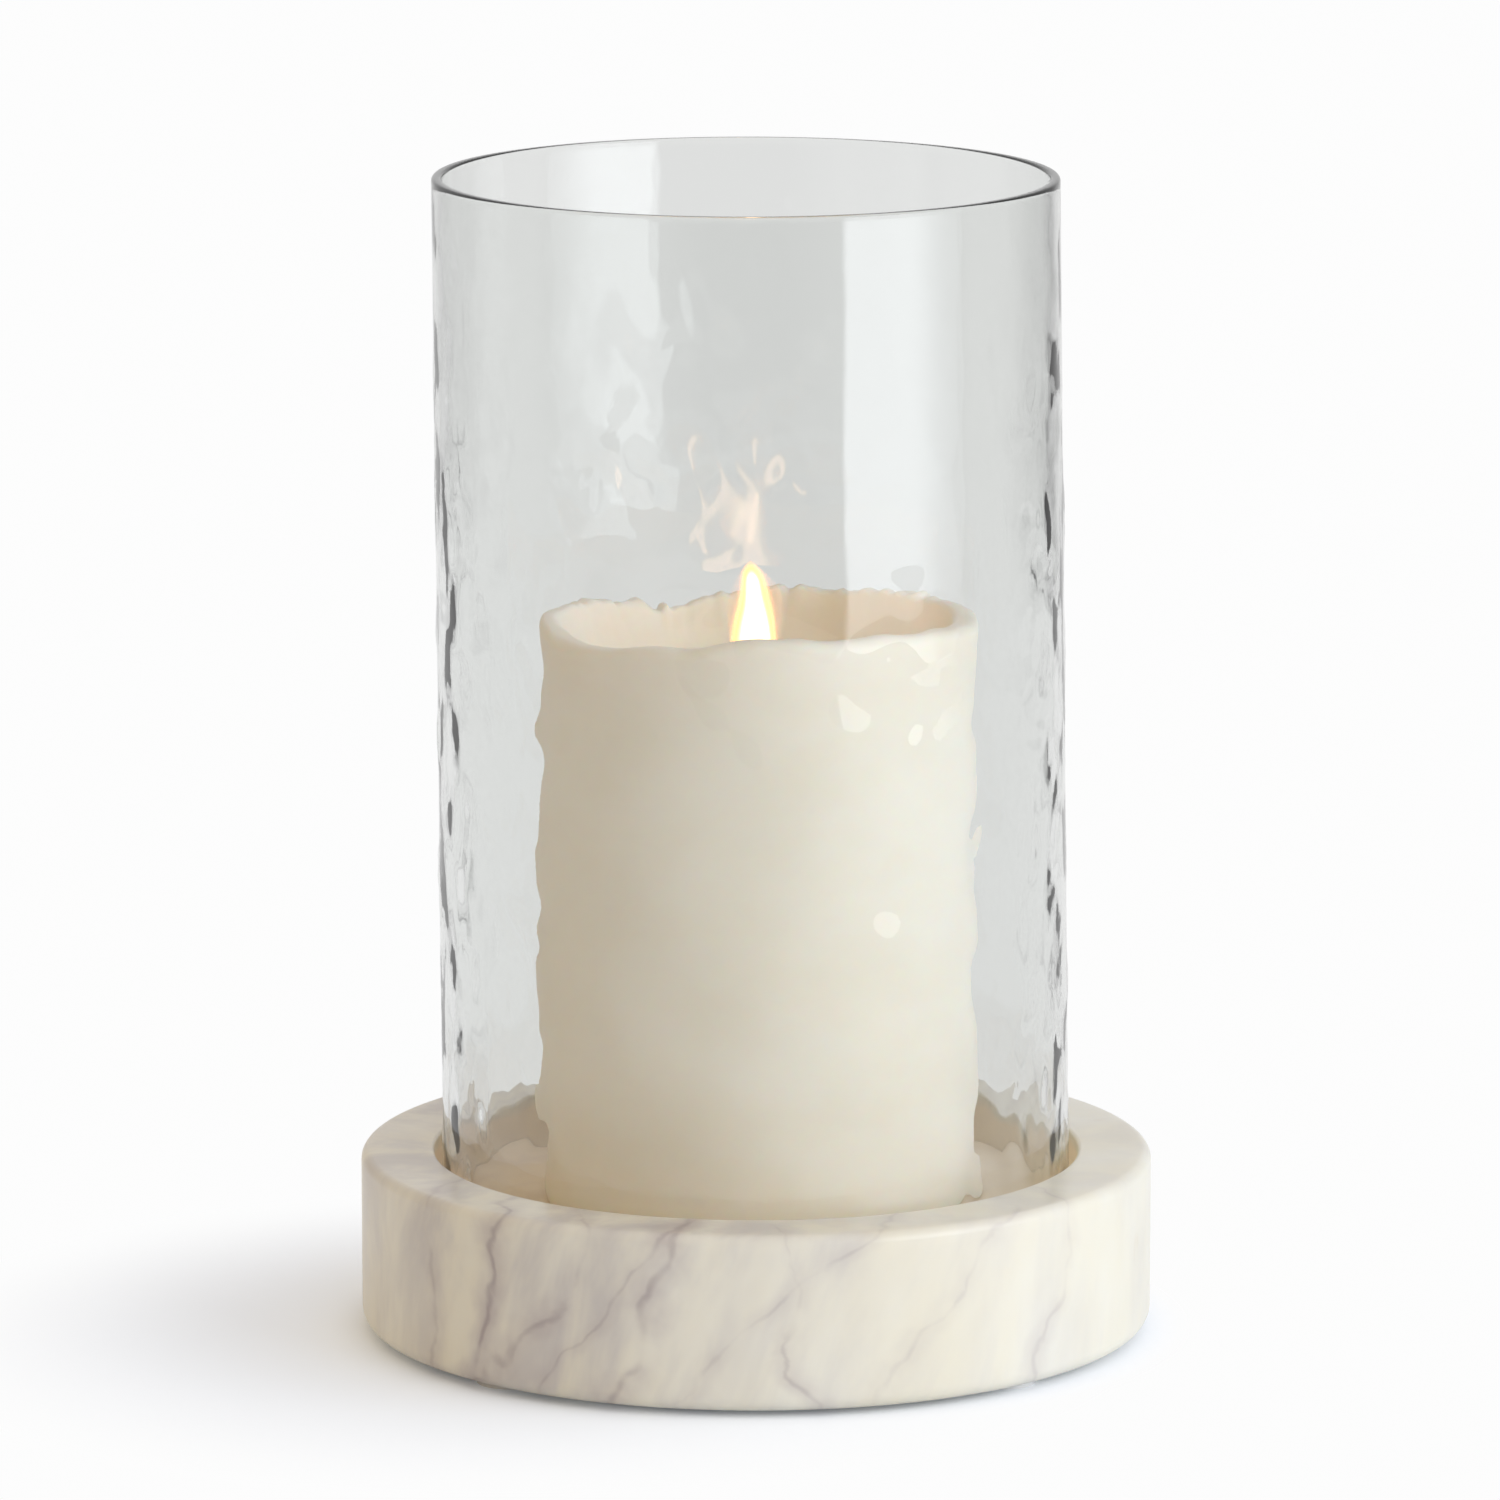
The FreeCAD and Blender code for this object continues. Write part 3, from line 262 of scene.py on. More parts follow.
# %% Ripples of the glass
RIPPLE_SHORT = 10 * MM
RIPPLE_LONG = 26 * MM
FINE_SHORT = 4.5 * MM
FINE_LONG = 8 * MM
FINE_SHARE = 0.24
RIPPLE_STRETCH = 1.5
RIPPLE_SKEW = 0.3
RIPPLE_WAVES = 90
RIPPLE_MEAN = 0.72
RIPPLE_LEFT = 0.06
RIPPLE_BACK = 0.44
RIPPLE_EVEN = 0.6
EVEN_FROM = 80 * MM
EVEN_TO = 150 * MM
CALM_RIM = 14 * MM
CALM_REACH = 85 * MM
CALM_SHARE = 0.30
CALM_FOOT = 6 * MM


def glass_ripple(angle, height, size, seed):
    """Ripples of a size: a skewed wave field times how lively the glass is at a bearing and a height.

    The field has broad waves, and a share of fine ones that grows with the squared cosine of the
    bearing. Round the glass the liveliness is a mean, less a cosine and plus a sine of the bearing,
    so it is highest at the left and the back, and lower down the sine counts less. Down the glass it
    steps up from the rim, and it ends at the foot.
    """
    field = ripple_field(
        angle, height, glass_radius, RIPPLE_SHORT, RIPPLE_LONG, RIPPLE_WAVES, seed, RIPPLE_STRETCH
    )
    fine = ripple_field(angle, height, glass_radius, FINE_SHORT, FINE_LONG, RIPPLE_WAVES, seed + 1)
    field = field + FINE_SHARE * np.cos(angle) ** 2 * fine
    drop = glass_high.z - height
    back = RIPPLE_BACK * (1 - RIPPLE_EVEN * ease(drop, EVEN_FROM, EVEN_TO))
    lively = RIPPLE_MEAN - RIPPLE_LEFT * np.cos(angle) + back * np.sin(angle)
    lively = lively * (CALM_SHARE + (1 - CALM_SHARE) * ease(drop, CALM_RIM, CALM_REACH))
    lively = lively * ease(drop, 0, CALM_RIM) * ease(height - glass_low.z, 0, CALM_FOOT)
    return size * lively * (field + RIPPLE_SKEW * (field * field - 1))


# %% Blow the glass cylinder
RIPPLE_OUTSIDE = 0.11 * MM
RIPPLE_INSIDE = 0.09 * MM
OUTSIDE_SEED = 7
INSIDE_SEED = 11
FACE_BORDER = 0.3 * MM
GLASS_LEAN = -2.4 * MM
GLASS_TAPER = 0.9 * MM

turn = angles(GLASS_COLUMNS)
wall_radius = glass_outline[:, :1]
wall_height = glass_outline[:, 1:]
on_outside = ease(wall_radius, glass_middle - FACE_BORDER, glass_middle + FACE_BORDER)
ripple = on_outside * glass_ripple(turn, wall_height, RIPPLE_OUTSIDE, OUTSIDE_SEED)
ripple = ripple + (1 - on_outside) * glass_ripple(turn, wall_height, RIPPLE_INSIDE, INSIDE_SEED)
up_share = (wall_height - glass_low.z) / (glass_high.z - glass_low.z)
taper = GLASS_TAPER * (0.5 - up_share)
glass_points = turned_points(wall_radius + taper + ripple, wall_height, turn)
glass_points[:, 0] += GLASS_LEAN * np.broadcast_to(up_share, ripple.shape).ravel()
glass_faces = wrapped_quads(len(glass_outline), GLASS_COLUMNS, True)
new_piece("glass_blown", glass_points, glass_faces, "glass", "glass", "glass_cylinder")
print(f"ripples reach {np.abs(ripple).max() / MM:.2f} mm")

# %% [markdown]
# ## The wax pillar
# The pillar is real wax over a hidden case. Its wall is nearly true, but the rim looks melted: it
# rises and dips by a few millimetres round the turn and leans into a deep well. We name how far the rim
# drops at a few bearings, join them by straight runs and smooth the corners off, then add small waves.
# The wall above the floor of the well is stretched to meet that curve, and all below it stays.

# %% Outline of the wax
WAX_COLUMNS = 288
WAX_WALL = 7.5 * MM
WELL_LEDGE = 2.3 * MM
WELL_FLARE = 4.5 * MM
WAX_FOOT_ROUND = 1 * MM
RIM_OUTER_ROUND = 2.6 * MM
RIM_INNER_ROUND = 1.6 * MM
WELL_FOOT_ROUND = 0.3 * MM
LEDGE_ROUND = 0.2 * MM
BORE_FOOT_ROUND = 0.3 * MM
WAX_SPACING = 2 * MM

wax_bore = wax_radius - WAX_WALL
wax_middle = (wax_bore + wax_radius) / 2
well_radius = wax_bore - WELL_LEDGE
mouth_radius = well_radius + WELL_FLARE
wax_outline = rounded_outline(
    [
        (wax_middle, wax_low.z),
        (wax_radius, wax_low.z),
        (wax_radius, wax_high.z),
        (mouth_radius, wax_high.z),
        (well_radius, well_floor),
        (wax_bore, well_floor),
        (wax_bore, wax_low.z),
        (wax_middle, wax_low.z),
    ],
    [WAX_FOOT_ROUND, RIM_OUTER_ROUND, RIM_INNER_ROUND, WELL_FOOT_ROUND, LEDGE_ROUND, BORE_FOOT_ROUND],
    WAX_SPACING,
)[:-1]
print(f"wax: {len(wax_outline)} rows round the wall's section")

# %% The melted rim
# Each pair is a bearing in degrees and how far the rim drops there, in millimetres.
RIM_DROPS = (
    (-90, -1.8), (-67, -1.4), (-50, -0.6), (-38, 0.8), (0, 1.2), (25, 0.8), (48, 0.7), (64, 3.2), (78, 2.4),
    (100, 4.8), (112, 5.2), (125, 4.3), (140, 3.0), (180, 0.4), (225, 3.4), (240, 1.5), (252, 0.2),
)
RIM_SMOOTHING = 16


def rim_drop(angle):
    """How far the rim lies below its nominal level: straight runs between named bearings, then smoothed.

    One smoothing step replaces each value by a quarter of its two neighbours and half of itself.
    """
    bearings, drops = np.transpose(RIM_DROPS)
    drop = np.interp(angle, np.radians(bearings), drops * MM, period=2 * np.pi)
    for _ in range(RIM_SMOOTHING):
        drop = (np.roll(drop, 1) + 2 * drop + np.roll(drop, -1)) / 4
    return drop


# %% Pour the wax pillar
# Each set of waves has a height, a shortest and a longest length, a count and a seed.
RIM_WOBBLE = (0.3 * MM, 9 * MM, 40 * MM, 40, 5)
RIM_CRUMBS = (0.4 * MM, 3 * MM, 9 * MM, 40, 6)
WAX_SWELL = (0.22 * MM, 25 * MM, 90 * MM, 50, 8)
CRUMBS_FROM = 0.2
CRUMBS_FULL = 0.8
SEAT_MARGIN = 0.1 * MM
SKIN_FROM = 1 * MM
SKIN_FULL = 4 * MM
STEADY_FOOT = 8 * MM


def wax_waves(angle, height, size, shortest, longest, waves, seed):
    """Waves of a size on the wax: its size times a wave field on the pillar's own cylinder."""
    return size * ripple_field(angle, height, wax_radius, shortest, longest, waves, seed)


turn = angles(WAX_COLUMNS)
wax_r = wax_outline[:, :1]
wax_z = wax_outline[:, 1:]
crumbs = wax_waves(turn, 0 * turn, *RIM_CRUMBS) * ease(np.sin(turn), CRUMBS_FROM, CRUMBS_FULL)
rim = rim_drop(turn[0])[None, :] + wax_waves(turn, 0 * turn, *RIM_WOBBLE) + crumbs
above_deck = (wax_r > well_radius + SEAT_MARGIN) & (wax_z > well_floor)
drop = above_deck * ease(wax_z, well_floor, wax_high.z) * rim
swell = wax_waves(turn, wax_z, *WAX_SWELL)
swell = swell * ease(wax_r, wax_bore + SKIN_FROM, wax_bore + SKIN_FULL)
swell = swell * ease(wax_z, wax_low.z, wax_low.z + STEADY_FOOT)
wax_points = turned_points(wax_r + swell, wax_z - drop, turn)
wax_faces = wrapped_quads(len(wax_outline), WAX_COLUMNS, True)
new_piece("wax_pillar", wax_points, wax_faces, "candle", "wax", "wax_shell")
print(f"rim dips by up to {drop.max() / MM:.1f} mm")

# %% [markdown]
# ## The flame
# The flame is a thin leaf of clear plastic on a pendulum, lit by a small lamp in the deck. It looks
# hot in the middle and orange at its edges. The leaf is a stack of ovals whose width follows a simple
# curve from the slot up to the point; each point also stores how hot it looks, so that the finish can
# turn that one number into colour.

# %% Width of the leaf
FLAME_WIDE_AT = 0.60
FLAME_BLUNT = 0.7
SWELLS_FROM = -0.1
TAIL_WIDTH = 7 * MM

flame_width = flame_high.x - flame_low.x
flame_thickness = flame_high.y - flame_low.y
flame_rise = flame_high.z - well_floor
print(f"flame is {flame_width / MM:.1f} mm wide and {flame_rise / MM:.1f} mm high above the deck")


def leaf_width(share):
    """Width of the leaf at a share of its height: it swells to its widest, then rounds in to the tip."""
    low = TAIL_WIDTH + (flame_width - TAIL_WIDTH) * ease(share, SWELLS_FROM, FLAME_WIDE_AT)
    high = np.clip((1 - share) / (1 - FLAME_WIDE_AT), 0, 1)
    return np.where(share < FLAME_WIDE_AT, low, flame_width * np.sin(np.pi / 2 * high) ** FLAME_BLUNT)


# %% Shape the flame
FLAME_ROWS = 72
FLAME_COLUMNS = 48
TAIL_THICKNESS = 2.4 * MM
FLAME_LEAN = -0.4 * MM
LEAST_DEPTH = 0.15
LAST_ROW = 1 - 1e-4

share = np.linspace((flame_low.z - well_floor) / flame_rise, LAST_ROW, FLAME_ROWS)[:, None]
turn = angles(FLAME_COLUMNS)
half_width = leaf_width(share) / 2
leaf_depth = flame_thickness * np.clip(2 * half_width / flame_width, LEAST_DEPTH, 1)
half_depth = np.where(share < 0, TAIL_THICKNESS, leaf_depth) / 2
lean = FLAME_LEAN * np.clip(share, 0, 1) ** 2
flame_x = half_width * np.cos(turn)
flame_y = half_depth * np.sin(turn)
flame_z = np.broadcast_to(well_floor + share * flame_rise, flame_x.shape)
flame_points = np.stack([flame_x + lean, flame_y, flame_z], axis=-1).reshape(-1, 3)
flame_ends = [(0, 0, flame_z[0, 0]), (lean[-1, 0], 0, flame_high.z)]
flame_points = np.concatenate([flame_points, flame_ends])
flame_faces = closed_faces(FLAME_ROWS, FLAME_COLUMNS)
flame = new_piece("flame_leaf", flame_points, flame_faces, "flame", "flame", "flame_tip")

# %% Paint how hot the flame looks
CORE_HALF = 3.2 * MM
CORE_TOP = 0.97
CORE_FADE = 5.2 * MM
CORE_TAPER = 0.35
HOT_FROM = 0.02
HOT_FULL = 0.32
COOLS_FROM = 0.82
COLD_AT = 1.06

core = CORE_HALF * np.clip(1 - np.clip(share, 0, 1) / CORE_TOP, 0, 1)
fade = CORE_FADE * (1 - CORE_TAPER * np.clip(share, 0, 1) ** 2)
hot = 1 - ease(np.abs(flame_x), core / 2, core + fade)
hot = hot * ease(share, HOT_FROM, HOT_FULL) * (1 - ease(share, COOLS_FROM, COLD_AT))
glow = flame.data.attributes.new("glow_heat", "FLOAT", "POINT")
glow.data.foreach_set("value", np.append(hot.ravel(), [0, 0]).astype(np.float32))
print(f"heat from {hot.min():.2f} to {hot.max():.2f}")

# %% [markdown]
# ## Building finishes from nodes
# Every finish is a small tree of nodes around one shader. Typing each node and link by hand hides the
# idea, so a few helpers do the wiring: they add a node, feed its sockets by name or in their order, and
# do one step of arithmetic or mixing. Patterns read Object coordinates, which are metres on the piece
# itself, so a grain of 2 mm stays 2 mm whatever the piece's size.

# %% Helpers that wire nodes
def plug(tree, value, socket):
    """Feed a socket: another node's output is linked to it, a plain value is set on it."""
    if isinstance(value, bpy.types.NodeSocket):
        tree.links.new(value, socket)
    else:
        socket.default_value = value


def fill(tree, node, **sockets):
    """Feed a node's sockets by name, with _ in place of a space, and give the node back."""
    for name, value in sockets.items():
        plug(tree, value, node.inputs[name.replace("_", " ")])
    return node


def add_node(tree, kind, **sockets):
    """Add a node and feed its sockets by name."""
    return fill(tree, tree.nodes.new("ShaderNode" + kind), **sockets)


def in_order(tree, kind, *values, **options):
    """Add a node, set its options and feed its sockets in their order."""
    node = tree.nodes.new("ShaderNode" + kind)
    for name, option in options.items():
        setattr(node, name, option)
    for socket, value in zip(node.inputs, values):
        plug(tree, value, socket)
    return node


# %% Helpers that calculate and mix
def calculate(tree, operation, first, second):
    """One step of arithmetic on two values."""
    return in_order(tree, "Math", first, second, operation=operation).outputs[0]


def product(tree, first, second):
    """Two values multiplied."""
    return calculate(tree, "MULTIPLY", first, second)


def how_far(tree, first, second):
    """How far apart two points are."""
    return in_order(tree, "VectorMath", first, second, operation="DISTANCE").outputs["Value"]


def spread(tree, value, low, high, to_low=0.0, to_high=1.0):
    """Map a value's range from low to high smoothly onto another range."""
    node = add_node(tree, "MapRange", Value=value, From_Min=low, From_Max=high)
    fill(tree, node, To_Min=to_low, To_Max=to_high)
    node.interpolation_type = "SMOOTHSTEP"
    return node.outputs[0]


def mix_colours(tree, share, first, second, blend="MIX"):
    """A colour between two others, by a share that a pattern gives."""
    node = tree.nodes.new("ShaderNodeMix")
    node.data_type = "RGBA"
    node.blend_type = blend
    for index, value in ((0, share), (6, first), (7, second)):
        plug(tree, value, node.inputs[index])
    return node.outputs[2]


def mix_shaders(tree, share, first, second):
    """A surface between two others, by a share."""
    return in_order(tree, "MixShader", share, first, second).outputs[0]


def ramp(tree, value, stops):
    """A colour picked by a value from a row of stops, each a place from 0 to 1 and its colour."""
    node = in_order(tree, "ValToRGB", value)
    steps = node.color_ramp.elements
    while len(steps) < len(stops):
        steps.new(0.5)
    for step, (place, colour) in zip(steps, stops):
        step.position = place
        step.color = colour
    return node.outputs[0]


# %% Helpers that start and dress a finish
# Most values of a noise lie in this span.
NOISE_SPAN = (0.3, 0.7)


def start_finish(name):
    """A new material with its node tree, its shader and its Object coordinates."""
    material = bpy.data.materials.new(name)
    material.use_nodes = True
    tree = material.node_tree
    coords = add_node(tree, "TexCoord").outputs["Object"]
    return material, tree, tree.nodes["Principled BSDF"], coords


def noise(tree, coords, size, detail=4.0, rough=0.55, distort=0.0):
    """A soft random pattern whose blots are about a given size across, as a value round one half."""
    node = add_node(tree, "TexNoise", Vector=coords, Scale=1 / size, Detail=detail, Roughness=rough)
    return fill(tree, node, Distortion=distort).outputs["Fac"]


def uneven_gloss(tree, shader, pattern, low, high):
    """Let the roughness follow a noise pattern from a low to a high value."""
    fill(tree, shader, Roughness=spread(tree, pattern, *NOISE_SPAN, low, high))


def bumped(tree, shader, height, depth, strength):
    """Tilt the shading by a height pattern whose full range is a given depth."""
    bump = add_node(tree, "Bump", Height=height, Distance=depth, Strength=strength)
    fill(tree, shader, Normal=bump.outputs["Normal"])


def dress(name, material):
    """Give a frame node or a new piece its material."""
    piece = bpy.data.objects[name]
    piece.data.materials.clear()
    piece.data.materials.append(material)
    print("dressed", name, "in", material.name)


# %% [markdown]
# ## Polished marble
# Marble is limestone that was cooked and squeezed: warm white, with clouds of lilac grey, thin veins
# where minerals filled the cracks, and a few rusty spots. A crack is a sheet that runs right through the
# stone, so each vein is the distance from one slanting sheet: noise makes it wander, thicken and fade.
# Sheets fill space, so the veins run on over every edge, and two that lean apart meet and branch. They
# gather on one side, where their grey clouds also paint shade on the stone's left, away from the lamp;
# the other side keeps the rust. The recess is cut but not polished, so it is duller; its lighter, warmer
# colour is painted bounce light from the wax.

# %% Patterns that fill the stone
def shaken(tree, coords, size, amount):
    """Coordinates pushed about by a coloured noise, so that straight patterns wander."""
    colours = add_node(tree, "TexNoise", Vector=coords, Scale=1 / size, Detail=2).outputs["Color"]
    centred = in_order(tree, "VectorMath", colours, (0.5, 0.5, 0.5), operation="SUBTRACT").outputs[0]
    pushed = in_order(tree, "VectorMath", centred, [amount] * 3, coords, operation="MULTIPLY_ADD")
    return pushed.outputs["Vector"]


def slanted(tree, coords, lean, stretch):
    """Coordinates squeezed along a direction that leans from the upright, so patterns stretch along it."""
    node = add_node(tree, "Mapping", Vector=coords, Rotation=(0, lean, 0), Scale=(1, 1, stretch))
    node.vector_type = "TEXTURE"
    return node.outputs[0]


def sheet(tree, coords, across, lean, turn):
    """Distance from a flat sheet in the stone, given by where and how steeply it meets the front.

    The sheet holds a line that leans to the right by some degrees on the front, and a level line that
    turns to the right by some degrees on its way in; its normal is their cross product.
    """
    lean = math.radians(lean)
    turn = math.radians(turn)
    normal = np.cross((math.sin(lean), 0, math.cos(lean)), (math.sin(turn), math.cos(turn), 0))
    normal = normal / np.linalg.norm(normal)
    start = np.array([across, -math.sqrt(stone_radius**2 - across**2), stone_high.z / 2])
    dot = in_order(tree, "VectorMath", coords, normal, operation="DOT_PRODUCT").outputs["Value"]
    return calculate(tree, "ABSOLUTE", calculate(tree, "SUBTRACT", dot, float(normal @ start)), 0.0)


# %% Where the veins gather, and where the recess is
GATHER_BLOTS = 50 * MM
GATHER_NOISE = (0.2, 0.8)
GATHER_SWAY = 25 * MM
GATHER_LEFT = (-90 * MM, -55 * MM)
GATHER_RIGHT = (-25 * MM, 40 * MM)
# The share kept at the far left also darkens that side as painted shade.
LEAST_LEFT = 0.7
LEAST_RIGHT = 0.3
RECESS_SIDE = (recess_radius, recess_radius + 0.5 * MM)
RECESS_TOP = (stone_high.z - 4 * MM, stone_high.z - 1 * MM)
RECESS_FLOOR = (seat_height - 2 * MM, seat_height - 1 * MM)


def gathered_and_shaded(tree, coords):
    """How thickly clouds and veins lie: fully left of the middle, and less towards both sides; the larger
    share on the left also paints shade on that side, away from the lamp.
    """
    across = add_node(tree, "SeparateXYZ", Vector=coords).outputs["X"]
    sway = spread(tree, noise(tree, coords, GATHER_BLOTS, 2), *GATHER_NOISE, -GATHER_SWAY, GATHER_SWAY)
    across = calculate(tree, "ADD", across, sway)
    from_left = spread(tree, across, *GATHER_LEFT, LEAST_LEFT, 1.0)
    to_right = spread(tree, across, *GATHER_RIGHT, 1.0, LEAST_RIGHT)
    return product(tree, from_left, to_right)


def recess_share(tree, coords):
    """1 inside the recess, from its floor to just below the stone's top, and 0 elsewhere."""
    spot = add_node(tree, "SeparateXYZ", Vector=coords)
    flat = add_node(tree, "CombineXYZ", X=spot.outputs["X"], Y=spot.outputs["Y"]).outputs[0]
    within = spread(tree, how_far(tree, flat, (0, 0, 0)), *RECESS_SIDE, 1.0, 0.0)
    below = spread(tree, spot.outputs["Z"], *RECESS_TOP, 1.0, 0.0)
    above = spread(tree, spot.outputs["Z"], *RECESS_FLOOR)
    return product(tree, within, product(tree, below, above))


# %% Veins
STONE_LILAC = (0.45, 0.385, 0.385, 1)
STONE_VEIN = (0.27, 0.205, 0.22, 1)
# Each vein has a place across the front, a lean and a turn in degrees, a width and a strength.
VEINS = (
    (-62 * MM, 12, 20, 1.1 * MM, 0.9),
    (-51 * MM, 30, -15, 0.9 * MM, 0.7),
    (-76 * MM, -5, 30, 1.1 * MM, 0.5),
    (-26 * MM, 20, 10, 1.3 * MM, 0.75),
    (-36 * MM, 40, 25, 0.8 * MM, 0.5),
    (11 * MM, -6, -20, 0.7 * MM, 0.5),
    (-2 * MM, 50, 15, 0.8 * MM, 0.35),
    (40 * MM, 36, 0, 0.9 * MM, 0.3),
    (68 * MM, 14, -30, 0.8 * MM, 0.3),
)
# A vein's halo and its core each reach some widths out, with a share at the middle and a colour.
VEIN_LAYERS = ((6, 0.65, STONE_LILAC), (1.2, 0.55, STONE_VEIN))
VEIN_SWAY = (28 * MM, 22 * MM)
VEIN_JITTER = (5 * MM, 2.5 * MM)
VEIN_BLOTS = 18 * MM
VEIN_NOISE = (0.36, 0.64)
VEIN_LEAST = 0.05
VEIN_APART = 0.3


def veined(tree, coords, colour):
    """A colour crossed by every vein: a soft halo and a fine core, both waning along the vein."""
    wander = shaken(tree, shaken(tree, coords, *VEIN_SWAY), *VEIN_JITTER)
    for number, (place, lean, turn, width, strength) in enumerate(VEINS):
        away = sheet(tree, wander, place, lean, turn)
        apart = add_node(tree, "Mapping", Vector=coords, Location=(0, 0, VEIN_APART * number)).outputs[0]
        waning = spread(tree, noise(tree, apart, VEIN_BLOTS, 3), *VEIN_NOISE, VEIN_LEAST, strength)
        for reach, share, tone in VEIN_LAYERS:
            layer = spread(tree, away, 0, reach * width, share, 0)
            colour = mix_colours(tree, product(tree, layer, waning), colour, tone)
    return colour


# %% Marble
STONE_WHITE = (0.84, 0.81, 0.70, 1)
STONE_CREAM = (0.815, 0.765, 0.615, 1)
STONE_CLOUD = (0.60, 0.565, 0.535, 1)
STONE_RUST = (0.64, 0.50, 0.28, 1)
# A lighter, warmer tone for the recess: painted bounce light from the wax.
STONE_PAINTED_BOUNCE = (1.0, 0.81, 0.58, 1)
CLOUD_LEAN = 0.35
CLOUD_STRETCH = 3.0
CREAM_BLOTS = 34 * MM
CLOUD_BLOTS = 20 * MM
CLOUD_NOISE = (0.38, 0.68)
CLOUD_SHARE = 0.95
RUST_BLOTS = 11 * MM
RUST_NOISE = (0.70, 0.80)
RUST_SHARE = 0.45
RUST_BORDER = (0.4, 0.8)
PAINTED_BOUNCE_SHARE = 0.6
RAW_DULL = 0.3
POLISH_BLOTS = 25 * MM
POLISH = (0.285, 0.335)


def marble():
    """Warm white stone with gathered lilac veins, painted shade on its left, and a thin polish that stops
    at the recess, whose colour is warmed by painted bounce light.
    """
    material, tree, shader, coords = start_finish("marble_polished")
    gather_and_shade = gathered_and_shaded(tree, coords)
    broad = slanted(tree, coords, CLOUD_LEAN, CLOUD_STRETCH)
    cream = spread(tree, noise(tree, broad, CREAM_BLOTS, 3), *NOISE_SPAN)
    colour = mix_colours(tree, cream, STONE_WHITE, STONE_CREAM)
    cloud = spread(tree, noise(tree, broad, CLOUD_BLOTS, 4, 0.55, 0.3), *CLOUD_NOISE, 0, CLOUD_SHARE)
    # Grey clouds follow the gathering, so the stone's left is also darkened as painted shade.
    colour = mix_colours(tree, product(tree, cloud, gather_and_shade), colour, STONE_CLOUD)
    colour = veined(tree, coords, colour)
    rust = spread(tree, noise(tree, broad, RUST_BLOTS, 2, 0.5), *RUST_NOISE, 0, RUST_SHARE)
    rust = product(tree, rust, spread(tree, gather_and_shade, *RUST_BORDER, 1.0, 0.0))
    colour = mix_colours(tree, rust, colour, STONE_RUST)
    raw_and_bounce = recess_share(tree, coords)
    # The recess turns lighter and warmer as painted bounce light; the added roughness below is the real
    # unpolished cut.
    colour = mix_colours(tree, raw_and_bounce, colour, mix_colours(tree, PAINTED_BOUNCE_SHARE, colour, STONE_PAINTED_BOUNCE))
    polish = spread(tree, noise(tree, coords, POLISH_BLOTS, 2), *NOISE_SPAN, *POLISH)
    dull = calculate(tree, "ADD", polish, product(tree, raw_and_bounce, RAW_DULL))
    fill(tree, shader, Base_Color=colour, Roughness=dull, Subsurface_Weight=0.15,
         Subsurface_Radius=(1.0, 0.85, 0.65), Subsurface_Scale=4 * MM)
    bumped(tree, shader, noise(tree, coords, 9 * MM, 2), 0.01 * MM, 0.3)
    return material


dress("stone_base", marble())

# %% [markdown]
# ## Clear glass
# Clear glass has almost no colour of its own; what we see is what it bends and mirrors. Light from the
# lamps would need lucky paths to get through it, so rays that only ask for light, and soft bounces from
# the candle, pass straight through a clear stand-in with a little loss. The camera still sees real,
# bending glass.

# %% Glass
GLASS_TINT = (0.895, 0.905, 0.895, 1)
GLASS_LOSS = (0.955, 0.957, 0.955, 1)
GLASS_BENDING = 1.5
GLASS_BLOTS = 20 * MM
GLASS_SMEAR = 0.0035


def clear_glass():
    """Bending glass for the eye, and a clear stand-in for light on its way through."""
    material, tree, shader, coords = start_finish("glass_clear")
    fill(tree, shader, Base_Color=GLASS_TINT, Transmission_Weight=1, IOR=GLASS_BENDING)
    uneven_gloss(tree, shader, noise(tree, coords, GLASS_BLOTS), 0.0, GLASS_SMEAR)
    through = add_node(tree, "BsdfTransparent", Color=GLASS_LOSS).outputs[0]
    path = add_node(tree, "LightPath")
    surface = shader.outputs[0]
    for ray in ("Is Diffuse Ray", "Is Shadow Ray"):
        surface = mix_shaders(tree, path.outputs[ray], surface, through)
    fill(tree, tree.nodes["Material Output"], Surface=surface)
    return material


dress("glass_blown", clear_glass())

# %% [markdown]
# ## Ivory wax
# Wax glows a little from inside: light enters, scatters and leaves some millimetres away, which softens
# every shadow on it. Subsurface scattering does this for us. The colour is ivory with faint clouds, and
# the surface is satin, a bit shinier in some blots than in others.

# %% Wax
WAX_IVORY = (0.91, 0.86, 0.73, 1)
WAX_CREAM = (0.88, 0.82, 0.67, 1)
WAX_CLOUDS = 45 * MM
WAX_CLOUD_NOISE = (0.35, 0.7)
WAX_SATIN = (0.42, 0.56)


def ivory_wax():
    """Satin wax with faint clouds and light that scatters inside it."""
    material, tree, shader, coords = start_finish("wax_ivory")
    squeezed = add_node(tree, "Mapping", Vector=coords, Scale=(1, 1, 1.6)).outputs[0]
    clouds = spread(tree, noise(tree, squeezed, WAX_CLOUDS, 5, 0.6), *WAX_CLOUD_NOISE)
    fill(tree, shader, Base_Color=mix_colours(tree, clouds, WAX_IVORY, WAX_CREAM), Subsurface_Weight=0.5,
         Subsurface_Radius=(1.0, 0.6, 0.35), Subsurface_Scale=4 * MM, Specular_IOR_Level=0.35)
    uneven_gloss(tree, shader, noise(tree, coords, 14 * MM), *WAX_SATIN)
    bumped(tree, shader, noise(tree, coords, 9 * MM, 3), 0.06 * MM, 0.4)
    return material


dress("wax_pillar", ivory_wax())

# %% [markdown]
# ## The glow of the flame
# The leaf is lit from below and looks white hot in the middle, yellow round it and peach at its edge,
# where the thin plastic is half clear. The stored heat picks the colour from a ramp, and also how bright
# and how solid it is. The shader sends that colour out as light, so the flame warms the wall of the
# well and shows in the glass behind it.

